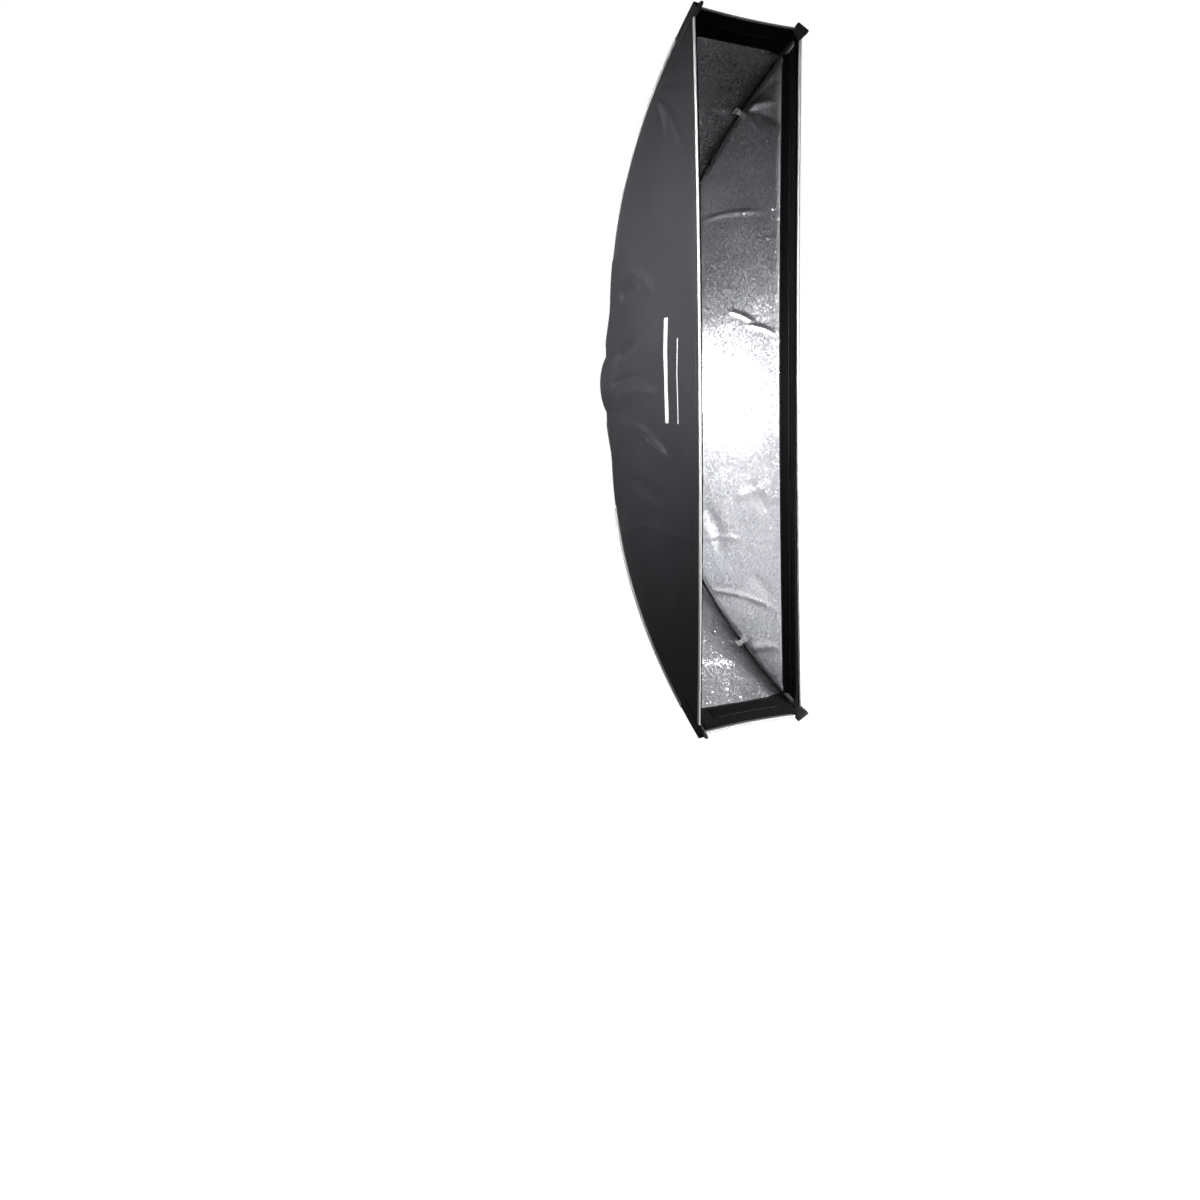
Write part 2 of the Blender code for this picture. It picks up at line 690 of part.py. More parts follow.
def side_lip_point(z, depth, height):
    wall = side_wall(z, depth)
    return wall - Vector((LAYERS + height, 0, 0))


def end_wall_steepness(depth):
    """How many times longer a step through the sloping end wall is when it runs straight down."""
    step = 0.1 * MM
    slope = (end_wall_height(depth + step) - end_wall_height(depth)) / step
    return math.sqrt(1 + slope * slope)


def end_lip_point(x, depth, height, clear=0.0):
    z = end_wall_height(depth) - (LAYERS + clear) * end_wall_steepness(depth) - height
    return Vector((x, RIM_Y + depth, z))


def lips():
    """The front lip: a folded hem at the rim, and a band behind it for hook-and-loop tape."""
    last = len(LIP_PROFILE) - 1
    end_z = end_wall_height(LIP_CORNER_GAP + 6 * MM)
    for name, side_x in SIDES:

        def lip(u, v):
            z = side_rows(u, HALF_HEIGHT - end_z)
            depth, height = (value * MM for value in LIP_PROFILE[round(v * last)])
            room = min(1, (wall_reach(z) - LIP_CORNER_GAP) / LIP_DEPTH)
            rise = corner_rise(HALF_HEIGHT - abs(z)) if v > 0 else 0
            return side_lip_point(z, depth * room, height + rise)

        mesh = sheet_mesh("side_lip", SIDE_ROWS, last, lip, side_x)
        shell("lip_" + name, mesh, LIP_CLOTH, LIP_CLOTH_BLACK, outward=False)
    for name, side_z in ENDS:

        def lip(u, v):
            depth, height = (value * MM for value in LIP_PROFILE[round(v * last)])
            half = side_wall(0.6 * HALF_HEIGHT, depth).x - LAYERS - HEM_HEIGHT - LIP_CORNER_RISE - 1 * MM
            x = half * (1 - 2 * u)
            rise = corner_rise(HALF_WIDTH - abs(x)) if v > 0 else 0
            return end_lip_point(x, depth, height + rise)

        mesh = sheet_mesh("end_lip", 12, last, lip, 1, side_z)
        shell("lip_" + name, mesh, LIP_CLOTH, LIP_CLOTH_BLACK, outward=False)


def tapes():
    """Loop tape on the lip, for a front diffuser or a fabric grid."""
    off_lip = LIP_CLOTH + GAP
    end_z = end_wall_height(TAPE_END + LIP_CORNER_GAP + 2 * MM)
    for name, side_x in SIDES:

        def tape(u, v):
            depth = TAPE_START + (TAPE_END - TAPE_START) * v
            z = side_rows(u, HALF_HEIGHT - end_z)
            return side_lip_point(z, depth, lip_height(depth) + off_lip)

        mesh = sheet_mesh("side_tape", SIDE_ROWS, 1, tape, side_x)
        shell("loop_tape_" + name, mesh, TAPE, LOOP_PILE, outward=False)
    for name, side_z in ENDS:

        def tape(u, v):
            depth = TAPE_START + (TAPE_END - TAPE_START) * v
            x = (HALF_WIDTH - LIP_CORNER_REACH) * (1 - 2 * u)
            return end_lip_point(x, depth, lip_height(depth), off_lip)

        mesh = sheet_mesh("end_tape", 2, 2, tape, 1, side_z)
        shell("loop_tape_" + name, mesh, TAPE, LOOP_PILE, outward=False)


def seam_outward(s):
    side_normal, _ = side_wall_normal(s)
    return (side_normal + end_wall_normal(s)).normalized()


def pipings():
    start = seam_share(SEAM_CLOSED_FROM)
    end = POCKET_START - 0.006
    for name, side_x, side_z in CORNERS:
        line = []
        for index in range(15):
            s = start + (end - start) * index / 14
            line.append(mirrored(seam(s) + seam_outward(s) * (PIPING_RADIUS + GAP), side_x, side_z))
        tube("seam_piping_" + name, line, PIPING_RADIUS, PIPING)
    forward = seam_tangent(1)
    front = Vector((0, forward.y, forward.z)).normalized() * (PIPING_RADIUS + GAP)
    for name, side_x in SIDES:
        x = side_x * (HALF_WIDTH - CLOTH / 2)
        y = RIM_Y - PIPING_RADIUS - GAP
        reach = HALF_HEIGHT - RIM_PIPING_TRIM
        tube("rim_piping_" + name, [Vector((x, y, -reach)), Vector((x, y, reach))], PIPING_RADIUS, PIPING)
    for name, side_z in ENDS:
        reach = HALF_WIDTH - RIM_PIPING_TRIM
        z = side_z * (HALF_HEIGHT + front.z)
        y = RIM_Y + front.y
        tube("rim_piping_" + name, [Vector((-reach, y, z)), Vector((reach, y, z))], PIPING_RADIUS, PIPING)


def pocket_section(s, leg):
    """Six points round the V of cloth that covers the seam: along the side leg, the corner and the end leg."""
    corner = seam(s)
    side_normal, side_inward = side_wall_normal(s)
    end_normal = end_wall_normal(s)
    along = seam_tangent(s)
    end_inward = Vector((-1, 0, 0))
    end_inward = (end_inward - end_inward.dot(along) * along).normalized()
    low, high = GAP, GAP + POCKET_CLOTH
    return [
        corner + low * side_normal + leg * side_inward,
        corner + low * (side_normal + end_normal),
        corner + low * end_normal + leg * end_inward,
        corner + high * end_normal + leg * end_inward,
        corner + high * (side_normal + end_normal),
        corner + high * side_normal + leg * side_inward,
    ]


def nose_stand(side_x, side_z):
    """A frame in front of the rod's tip: local Z along the rod, local Y outward from the corner."""
    outward = seam_outward(0.98)
    outward = (outward - outward.dot(ROD_END_AIM) * ROD_END_AIM).normalized()
    across = ROD_END_AIM.cross(outward)
    along = mirrored(ROD_END_AIM, side_x, side_z)
    across = mirrored(across, side_x, side_z)
    turn = Matrix((across, along.cross(across), along)).transposed().to_4x4()
    start = TIP_LENGTH / 2 + GAP
    return Matrix.Translation(mirrored(ROD_END, side_x, side_z) + along * (start + NOSE_LENGTH / 2)) @ turn


def nose_mesh():
    """The stitched flat end of a pocket."""
    bm = bmesh.new()
    bmesh.ops.create_cube(bm, size=1)
    bmesh.ops.scale(bm, vec=(NOSE_WIDTH, NOSE_THICKNESS, NOSE_LENGTH), verts=bm.verts)
    bmesh.ops.bevel(bm, geom=bm.edges, offset=NOSE_BEVEL, segments=1, affect="EDGES")
    return mesh_from(bm, "nose")


def pockets():
    """The webbing pockets on the rim's corners that hold the rods' tips: a V of cloth over the seam, and a nose."""
    stations = []
    for index in range(5):
        leg = POCKET_LEG + (POCKET_END_LEG - POCKET_LEG) * index / 5
        stations.append(pocket_section(POCKET_START + (1 - POCKET_START) * index / 5, leg))
    beyond = seam(1) - seam(0.97) + ROD_END_AIM * (TIP_LENGTH / 2 + NOSE_LENGTH / 2)
    stations.append([point + beyond for point in pocket_section(0.97, POCKET_END_LEG)])
    for name, side_x, side_z in CORNERS:
        bm = bmesh.new()
        rings = [[bm.verts.new(mirrored(point, side_x, side_z)) for point in ring] for ring in stations]
        for low, high in zip(rings, rings[1:]):
            for index in range(6):
                after = (index + 1) % 6
                bm.faces.new((low[index], low[after], high[after], high[index]))
        bm.faces.new(rings[0])
        bm.faces.new(rings[-1])
        bmesh.ops.triangulate(bm, faces=bm.faces)
        bmesh.ops.recalc_face_normals(bm, faces=bm.faces)
        pocket = add("corner_pocket_" + name, mesh_from(bm, "corner_pocket"), WEBBING)
        boolean(pocket, cutter("nose_" + name, nose_mesh(), nose_stand(side_x, side_z)), "UNION")


def flaps():
    """Flaps of the side walls that close the slits beside the ring, hinged along the seams."""
    low, high = seam(seam_share(FLAP_START)), seam(seam_share(FLAP_END))
    for name, side_x, side_z in CORNERS:
        hinge = empty("pivot_flap_" + name, mirrored(low, side_x, side_z))

        def flap(u, v):
            s = seam_share(FLAP_START + (FLAP_END - FLAP_START) * u)
            corner = seam(s)
            half = corner.x - CLOTH - 2 * GAP
            across = (half - FLAP_WIDTH * (1 - v)) / half
            return end_wall(s, across, CLOTH + 2 * GAP) - low

        mesh = sheet_mesh("side_flap", 10, 2, flap, side_x, side_z, push=GAP)
        shell("side_flap_" + name, mesh, CLOTH, BLACK_CLOTH, outward=True, parent=hinge)


def neck_hem():
    """The elastic hem that grips the speedring."""
    radius = RING_RADIUS + GAP + HEM_ELASTIC_RADIUS
    behind = HEM_ELASTIC_RADIUS + GAP
    line = []
    for index in range(48):
        angle = math.tau * index / 48
        z = radius * math.sin(angle)
        share = min(abs(z) / NECK_HALF_HEIGHT, 1)
        y = back_edge(share * NECK_HALF_HEIGHT).y + behind - (behind + CLOTH / 2) * share**6
        line.append(Vector((radius * math.cos(angle), y, z)))
    tube("neck_hem", line, HEM_ELASTIC_RADIUS, BLACK_ELASTIC, closed=True)


bayonet_insert()
turntable = empty("pivot_speedring", (0, 0, 0))
speedring(turntable)
rod_sockets(turntable)
lock_screws()
rods()
rod_loops()
walls()
lips()
tapes()
pipings()
pockets()
flaps()
neck_hem()
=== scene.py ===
# %% [markdown]
# # Dressing a strip softbox
# A strip softbox is a long fabric box that turns a round lamp into a tall, narrow window of
# light. Four sprung rods stretch it open from a metal ring, the inside is lined with pebbled
# silver cloth, and the open front has a black lip that holds accessories. The CAD model is
# loaded first and never moved. Its hard parts stay and get real finishes, and every piece of
# cloth is made again here, with folds, hems, seams and stitches.

# %% Tools and the frame
import math

import bmesh
import bpy
import numpy as np
from mathutils import Matrix, Vector


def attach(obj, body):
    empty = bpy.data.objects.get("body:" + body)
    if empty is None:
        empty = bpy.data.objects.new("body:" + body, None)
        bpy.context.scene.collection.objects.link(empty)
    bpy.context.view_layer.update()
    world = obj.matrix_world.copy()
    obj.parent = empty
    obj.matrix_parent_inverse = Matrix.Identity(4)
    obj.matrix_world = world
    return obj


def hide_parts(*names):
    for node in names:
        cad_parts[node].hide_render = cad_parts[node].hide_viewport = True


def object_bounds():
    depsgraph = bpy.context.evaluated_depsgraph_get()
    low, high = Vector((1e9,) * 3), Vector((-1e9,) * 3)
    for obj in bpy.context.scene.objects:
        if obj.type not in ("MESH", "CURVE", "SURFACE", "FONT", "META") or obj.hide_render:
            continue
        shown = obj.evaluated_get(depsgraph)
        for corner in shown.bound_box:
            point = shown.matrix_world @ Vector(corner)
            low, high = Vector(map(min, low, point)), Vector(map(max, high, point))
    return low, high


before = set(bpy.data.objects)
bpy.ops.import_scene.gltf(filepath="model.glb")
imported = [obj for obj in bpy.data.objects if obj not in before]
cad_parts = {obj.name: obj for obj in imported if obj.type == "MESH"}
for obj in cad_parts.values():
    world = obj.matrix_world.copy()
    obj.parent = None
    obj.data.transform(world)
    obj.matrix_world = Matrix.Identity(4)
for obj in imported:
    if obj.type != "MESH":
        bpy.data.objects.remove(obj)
CAD_LOW, CAD_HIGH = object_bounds()
MM = 0.001
SCENE = bpy.context.scene
print("CAD box:", [round(v, 4) for v in (*CAD_LOW, *CAD_HIGH)])

# %% [markdown]
# ## The camera
# The camera stands to the front left, a little below the lamp's height, and looks slightly
# down, so the outside of one long wall and the inside of the other are both seen. A camera
# looks along its own -Z, so its place and three angles are turned into one matrix.

# %% The camera
VIEW_PLACE = Vector((-2.313, -2.6045, -0.080))
VIEW_AZIMUTH, VIEW_TILT, VIEW_ROLL = (math.radians(a) for a in (-40.49, 6.40, -0.798))
VIEW_LENS, SENSOR_WIDTH = 47.55, 36


def make_camera():
    back = Vector(
        (
            math.sin(VIEW_AZIMUTH) * math.cos(VIEW_TILT),
            -math.cos(VIEW_AZIMUTH) * math.cos(VIEW_TILT),
            math.sin(VIEW_TILT),
        )
    )
    level = Vector((math.cos(VIEW_AZIMUTH), math.sin(VIEW_AZIMUTH), 0))
    upright = back.cross(level)
    right = math.cos(VIEW_ROLL) * level + math.sin(VIEW_ROLL) * upright
    data = bpy.data.cameras.new("camera")
    data.lens, data.sensor_width = VIEW_LENS, SENSOR_WIDTH
    camera = bpy.data.objects.new("camera", data)
    axes = Matrix((right, back.cross(right), back)).transposed().to_4x4()
    camera.matrix_world = Matrix.Translation(VIEW_PLACE) @ axes
    SCENE.collection.objects.link(camera)
    return camera


SCENE.camera = make_camera()
print("camera distance:", round(VIEW_PLACE.length, 2), "m")

# %% [markdown]
# ## Floor, sky and lights
# Black cloth needs big soft lights, because it only shows as the pale sheen that they leave
# on it. The key light stands on the left with a narrow spread, so the outer wall is grey in
# its upper half and fades towards both ends, and a wide dim fill keeps those ends from going
# quite black. A second light stands high in front, and one low on the right reaches the lower
# half of the inside. The lamp's own light comes through the ring, and the silver lining
# throws it forward. The sky and the floor look white to the camera and stay dim as lights: a
# Light Path node tells the two uses apart. A white room that also lit the cloth would wash
# the black out and fill the lining with grey.

# %% Floor, sky and lights
FLOOR_DROP = 0.85  # under the softbox's lowest corner, as on a stand
FLOOR_REACH, FLOOR_TONE = 16, 0.22
SKY_LIGHT, SKY_SEEN = 0.08, 1.0


def make_sky():
    world = bpy.data.worlds.new("studio_sky")
    SCENE.world = world
    world.use_nodes = True
    nodes, links = world.node_tree.nodes, world.node_tree.links
    seen, light = nodes["Background"], nodes.new("ShaderNodeBackground")
    seen.inputs["Color"].default_value = (1, 1, 1, 1)
    seen.inputs["Strength"].default_value = SKY_SEEN
    light.inputs["Color"].default_value = (0.94, 0.96, 1, 1)
    light.inputs["Strength"].default_value = SKY_LIGHT
    choose, path = nodes.new("ShaderNodeMixShader"), nodes.new("ShaderNodeLightPath")
    links.new(path.outputs["Is Camera Ray"], choose.inputs["Fac"])
    links.new(light.outputs[0], choose.inputs[1])
    links.new(seen.outputs[0], choose.inputs[2])
    links.new(choose.outputs[0], nodes["World Output"].inputs["Surface"])


def area_light(name, place, target, size, watts, spread=180):
    data = bpy.data.lights.new(name, "AREA")
    data.shape, data.size, data.energy = "DISK", size, watts
    data.spread = math.radians(spread)
    light = bpy.data.objects.new(name, data)
    light.location = place
    light.rotation_euler = (Vector(target) - Vector(place)).to_track_quat("-Z", "Y").to_euler()
    light.visible_camera = False
    SCENE.collection.objects.link(light)


def make_floor():
    mesh = bpy.data.meshes.new("floor")
    turns = np.linspace(0, math.tau, 65)[:-1]
    ring = [(FLOOR_REACH * math.cos(a), FLOOR_REACH * math.sin(a), 0) for a in turns]
    mesh.from_pydata(ring, [], [tuple(range(len(ring)))])
    floor = bpy.data.objects.new("floor", mesh)
    floor.location.z = CAD_LOW.z - FLOOR_DROP
    SCENE.collection.objects.link(floor)
    pale = bpy.data.materials.new("pale_floor")
    pale.use_nodes = True
    nodes, links = pale.node_tree.nodes, pale.node_tree.links
    shader = nodes["Principled BSDF"]
    shader.inputs["Base Color"].default_value = (FLOOR_TONE, FLOOR_TONE, FLOOR_TONE, 1)
    shader.inputs["Roughness"].default_value = 0.9
    shader.inputs["Emission Color"].default_value = (1, 1, 1, 1)
    seen = nodes.new("ShaderNodeLightPath").outputs["Is Camera Ray"]
    links.new(seen, shader.inputs["Emission Strength"])
    mesh.materials.append(pale)


make_sky()
make_floor()
area_light("key", (-1.55, -0.45, 0.52), (-0.1, -0.2, 0.15), 0.45, 7.6, spread=44)
area_light("left_fill", (-3.0, -0.3, -0.6), (-0.1, -0.2, -0.2), 2.0, 18)
area_light("front_top", (1.0, -2.0, 2.3), (-0.1, -0.15, -0.3), 1.5, 10)
area_light("low_side", (0.80, -1.35, -0.42), (-0.1, -0.10, -0.44), 0.6, 7.6, spread=60)
area_light("lamp", (0, -0.045, 0), (0, -1, -0.30), 0.085, 2.5)
area_light("rim_back", (1.6, 2.2, 1.3), (0, 0, 0), 1.5, 50)
SCENE.view_settings.view_transform = "Standard"

# %% [markdown]
# ## Making finishes
# Each finish is a Principled shader with its own values. The effects that several finishes
# share are node groups: a weave for anything woven, pebbles for the silver cloth, and rubbing
# for metal and plastic. All of them read the object's own coordinates in metres, so they keep
# their real size and need no UV map.

# %% Node helpers
def node(tree, kind, inputs=None, **settings):
    """Adds a shader node. inputs gives each socket a value or another node's output."""
    made = tree.nodes.new("ShaderNode" + kind)
    for name, value in settings.items():
        setattr(made, name, value)
    for socket, value in (inputs or {}).items():
        if isinstance(value, bpy.types.NodeSocket):
            tree.links.new(value, made.inputs[socket])
        else:
            made.inputs[socket].default_value = value
    return made


def maths(tree, operation, *values, clamp=False):
    sum_node = node(tree, "Math", dict(enumerate(values)), operation=operation, use_clamp=clamp)
    return sum_node.outputs[0]


def node_group(name, inputs, outputs):
    """An empty shader group. inputs maps names to default numbers, outputs maps names to kinds."""
    tree = bpy.data.node_groups.new(name, "ShaderNodeTree")
    for label, value in inputs.items():
        socket = tree.interface.new_socket(label, in_out="INPUT", socket_type="NodeSocketFloat")
        socket.default_value = value
    for label, kind in outputs.items():
        tree.interface.new_socket(label, in_out="OUTPUT", socket_type="NodeSocket" + kind)
    return tree, tree.nodes.new("NodeGroupInput").outputs, tree.nodes.new("NodeGroupOutput").inputs


def noise(tree, where, scale, detail=2.0):
    made = node(tree, "TexNoise", {"Vector": where, "Scale": scale, "Detail": detail})
    return made.outputs["Fac"]


# %% [markdown]
# ### Weave
# Cloth is threads going over and under each other. Multiplying a sine wave along one thread
# by one along the other makes the same chequered hills, and adding the three pairs of axes
# makes it work on a wall facing any way. Noise adds loose fibres, and a much wider noise
# makes the slow patches of tone that dust and handling leave. The Shade output also follows
# the height, so the colour is lighter on high threads and fibres and darker in the dips
# between them, which is painted shade.

# %% The weave group
def make_weave():
    inputs = {"Pitch": 0.0012, "Mottle": 0.2, "Fibre": 0.3}
    tree, given, out = node_group("weave", inputs, {"Height": "Float", "Shade": "Float"})
    where = node(tree, "TexCoord").outputs["Object"]
    turns = maths(tree, "DIVIDE", math.tau, given["Pitch"])
    scaled = node(tree, "VectorMath", {0: where, "Scale": turns}, operation="SCALE").outputs[0]
    waves = node(tree, "VectorMath", {0: scaled}, operation="SINE").outputs[0]
    x, y, z = node(tree, "SeparateXYZ", {0: waves}).outputs
    pairs = [maths(tree, "MULTIPLY", a, b) for a, b in ((x, y), (y, z), (z, x))]
    threads = maths(tree, "ADD", maths(tree, "ADD", pairs[0], pairs[1]), pairs[2])
    fibres = maths(tree, "SUBTRACT", noise(tree, where, 900), 0.5)
    patches = maths(tree, "SUBTRACT", noise(tree, where, 7, 4), 0.5)
    height = maths(tree, "MULTIPLY_ADD", fibres, given["Fibre"], maths(tree, "MULTIPLY", threads, 0.3))
    shade = maths(tree, "MULTIPLY_ADD", patches, given["Mottle"], 1.0)
    tree.links.new(height, out["Height"])
    # Shade is the dust and handling patches plus the height: painted shade in the weave's dips.
    tree.links.new(maths(tree, "MULTIPLY_ADD", height, 0.25, shade), out["Shade"])
    return tree


WEAVE = make_weave()
print("group:", WEAVE.name)

# %% [markdown]
# ### Pebbles
# The silver lining is cloth with a metal film that is pressed into small pebbles. Each pebble
# throws light its own way, so the lining glitters instead of mirroring the lamp. A Voronoi
# texture gives the pebbles their domes, and its random colour per cell tilts each one. A few
# of them, drawn by a White Noise texture, tilt much further and flash where the rest don't.
# The domes' height also goes out, and the silver finish uses it to paint shade into the dents
# between pebbles.

# %% The pebble group
SPARKLING_SHARE = 0.08


def make_pebbles():
    inputs = {"Size": 0.0026, "Relief": 0.5, "Glitter": 0.3, "Sparkle": 1.0}
    tree, given, out = node_group("pebbles", inputs, {"Normal": "Vector", "DentShade": "Float"})
    where = node(tree, "TexCoord").outputs["Object"]
    scale = maths(tree, "DIVIDE", 1.0, given["Size"])
    cells = node(tree, "TexVoronoi", {"Vector": where, "Scale": scale})
    domes = maths(tree, "SUBTRACT", 1.0, cells.outputs["Distance"], clamp=True)
    fine = noise(tree, where, 1600)
    height = maths(tree, "MULTIPLY_ADD", fine, 0.25, domes)
    bump = node(tree, "Bump", {"Strength": given["Relief"], "Distance": 0.0005, "Height": height})
    colour = cells.outputs["Color"]
    middle = node(tree, "VectorMath", {0: colour, 1: (0.5, 0.5, 0.5)}, operation="SUBTRACT")
    lottery = node(tree, "TexWhiteNoise", {"Vector": cells.outputs["Position"]}).outputs["Value"]
    drawn = maths(tree, "GREATER_THAN", lottery, 1 - SPARKLING_SHARE)
    rare = maths(tree, "MULTIPLY", drawn, given["Sparkle"])
    strength = maths(tree, "ADD", given["Glitter"], rare)
    tilt = node(tree, "VectorMath", {0: middle.outputs[0], "Scale": strength}, operation="SCALE")
    both = node(tree, "VectorMath", {0: bump.outputs[0], 1: tilt.outputs[0]}, operation="ADD")
    straight = node(tree, "VectorMath", {0: both.outputs[0]}, operation="NORMALIZE")
    tree.links.new(straight.outputs[0], out["Normal"])
    # The dome height goes out too; the silver finish uses it as painted shade in the dents.
    tree.links.new(domes, out["DentShade"])
    return tree


PEBBLES = make_pebbles()
print("group:", PEBBLES.name)

# %% [markdown]
# ### Rubbing
# Metal and plastic that is handled gets scratches, smudges and bare edges. Stretched noise
# makes the fine scratches, a wide noise makes the smudges, and Pointiness finds the edges
# that a hand or a case rubs first.

# %% The rubbing group
def make_rubbing():
    inputs = {"Scratches": 0.3, "Smudges": 0.3, "Edges": 0.5}
    tree, given, out = node_group("rubbing", inputs, {"Grain": "Float", "Bare": "Float"})
    where = node(tree, "TexCoord").outputs["Object"]
    stretched = node(tree, "VectorMath", {0: where, 1: (1, 14, 1)}, operation="MULTIPLY").outputs[0]
    lines = maths(tree, "MULTIPLY", noise(tree, stretched, 420, 3), given["Scratches"])
    smudges = maths(tree, "MULTIPLY", noise(tree, where, 45, 3), given["Smudges"])
    tree.links.new(maths(tree, "ADD", lines, smudges), out["Grain"])
    pointed = maths(tree, "SUBTRACT", node(tree, "NewGeometry").outputs["Pointiness"], 0.53)
    edges = maths(tree, "MULTIPLY", maths(tree, "MULTIPLY", pointed, 14, clamp=True), given["Edges"])
    broken = maths(tree, "MULTIPLY", edges, noise(tree, where, 260, 3))
    tree.links.new(maths(tree, "MULTIPLY", broken, 1.6, clamp=True), out["Bare"])
    return tree


RUBBING = make_rubbing()
print("group:", RUBBING.name)

# %% [markdown]
# ### From group to finish
# A finish starts as a plain Principled shader whose constant values sit on its own sockets.
# A woven finish then takes its colour from the weave's shade and its relief from a Bump node.
# A rubbed finish lets the grain change its roughness and shows paler metal at bare edges.

# %% Finish makers
def finish(name, colour, roughness, metallic=0.0, sheen=0.0, coat=0.0, gloss=0.5):
    material = bpy.data.materials.new(name)
    material.use_nodes = True
    shader = material.node_tree.nodes["Principled BSDF"]
    values = {"Base Color": (*colour, 1), "Roughness": roughness, "Metallic": metallic}
    values |= {"Sheen Weight": sheen, "Sheen Roughness": 0.45, "Coat Weight": coat}
    values |= {"Specular IOR Level": gloss}
    for socket, value in values.items():
        shader.inputs[socket].default_value = value
    return material, material.node_tree, shader


def use_group(tree, group, **values):
    made = tree.nodes.new("ShaderNodeGroup")
    made.node_tree = group
    for socket, value in values.items():
        made.inputs[socket].default_value = value
    return made.outputs


def toned(tree, colour, shade):
    """The colour made lighter and darker over the surface by a shade that is near 1."""
    return node(tree, "VectorMath", {0: colour, "Scale": shade}, operation="SCALE").outputs[0]


def woven(name, colour, roughness, pitch, relief, mottle=0.2, fibre=0.3, sheen=0.3, gloss=0.4):
    material, tree, shader = finish(name, colour, roughness, sheen=sheen, gloss=gloss)
    weave = use_group(tree, WEAVE, Pitch=pitch, Mottle=mottle, Fibre=fibre)
    tree.links.new(toned(tree, colour, weave["Shade"]), shader.inputs["Base Color"])
    bump = node(tree, "Bump", {"Strength": relief, "Distance": 0.0004, "Height": weave["Height"]})
    tree.links.new(bump.outputs[0], shader.inputs["Normal"])
    return material


def rubbed(name, colour, bare, roughness, metallic, scratches=0.3, smudges=0.3, edges=0.5, coat=0.0):
    material, tree, shader = finish(name, colour, roughness, metallic, coat=coat)
    worn = use_group(tree, RUBBING, Scratches=scratches, Smudges=smudges, Edges=edges)
    mix = node(tree, "Mix", {"Factor": worn["Bare"]}, data_type="RGBA")
    mix.inputs["A"].default_value, mix.inputs["B"].default_value = (*colour, 1), (*bare, 1)
    tree.links.new(mix.outputs["Result"], shader.inputs["Base Color"])
    dull = maths(tree, "MULTIPLY_ADD", worn["Grain"], 0.5, roughness - 0.12, clamp=True)
    tree.links.new(dull, shader.inputs["Roughness"])
    bump = node(tree, "Bump", {"Strength": 0.25, "Distance": 0.0002, "Height": worn["Grain"]})
    tree.links.new(bump.outputs[0], shader.inputs["Normal"])
    return material


# %% [markdown]
# ### The softbox's finishes
# The shell is a tight black polyester with a faint sheen. The lip and the elastic are plainer
# and darker, the loop tape is a pile that swallows light, and the pockets are heavy webbing.
# The piping is the one pale line that draws the box's outline.

# %% Cloth finishes
SHELL_CLOTH = {"colour": (0.010, 0.010, 0.012), "roughness": 0.55, "pitch": 0.0011, "relief": 0.35}
SHELL_CLOTH |= {"mottle": 0.6, "sheen": 0.07}
POLYESTER = woven("black_polyester", **SHELL_CLOTH)
LIP_CLOTH = woven("lip_cloth", (0.0026, 0.0026, 0.0026), 0.9, 0.0012, 0.3, sheen=0.01, gloss=0.07)
PILE_LOOK = {"fibre": 1.6, "sheen": 0.01, "gloss": 0.05}
LOOP_PILE = woven("loop_pile", (0.002, 0.002, 0.002), 1.0, 0.0022, 1.0, **PILE_LOOK)
HOOK_TAPE = woven("hook_tape", (0.012, 0.012, 0.012), 0.5, 0.0015, 1.0, fibre=0.2, sheen=0.0)
PIPING = woven("piping_sleeve", (0.48, 0.48, 0.48), 0.6, 0.0009, 0.5, mottle=0.25, sheen=0.1)
WEBBING = woven("pocket_webbing", (0.009, 0.009, 0.010), 0.75, 0.0024, 1.0, mottle=0.4, sheen=0.10)
WHITE_ELASTIC = woven("white_elastic", (0.88, 0.88, 0.88), 0.7, 0.0016, 0.9, mottle=0.15, sheen=0.1)
BLACK_ELASTIC = woven("black_elastic", (0.014, 0.014, 0.014), 0.8, 0.0016, 0.9, sheen=0.2)
THREAD = woven("black_thread", (0.035, 0.035, 0.036), 0.55, 0.0004, 0.5, sheen=0.2)


def window(tree, value, low, high, soft):
    """1 where the value lies between low and high, easing off over the soft edge."""
    off = maths(tree, "ABSOLUTE", maths(tree, "SUBTRACT", value, (low + high) / 2))
    return maths(tree, "DIVIDE", maths(tree, "SUBTRACT", (high - low) / 2, off), soft, clamp=True)


# Two plain printed bars stand where a maker would print a name: y and z of their edges.
PRINTED_BARS = [((-0.2490, -0.2340), (-0.084, 0.127)), ((-0.2890, -0.2850), (-0.086, 0.084))]
INK, INK_EDGE = (0.42, 0.42, 0.42), 0.0006


def printed_polyester():
    """The polyester with two plain pale bars of ink that let the weave show through."""
    material = woven("printed_polyester", **SHELL_CLOTH)
    tree = material.node_tree
    shader = tree.nodes["Principled BSDF"]
    cloth_colour = shader.inputs["Base Color"].links[0].from_socket
    where = node(tree, "TexCoord").outputs["Object"]
    _, y, z = node(tree, "SeparateXYZ", {0: where}).outputs
    ink = 0.0
    for along_y, along_z in PRINTED_BARS:
        across, up = window(tree, y, *along_y, INK_EDGE), window(tree, z, *along_z, INK_EDGE)
        ink = maths(tree, "MAXIMUM", ink, maths(tree, "MULTIPLY", across, up))
    worn = maths(tree, "MULTIPLY_ADD", noise(tree, where, 600, 3), 0.5, 0.55, clamp=True)
    mix = node(tree, "Mix", {"Factor": maths(tree, "MULTIPLY", ink, worn)}, data_type="RGBA")
    tree.links.new(cloth_colour, mix.inputs["A"])
    mix.inputs["B"].default_value = (*INK, 1)
    tree.links.new(mix.outputs["Result"], shader.inputs["Base Color"])
    return material


PRINTED = printed_polyester()


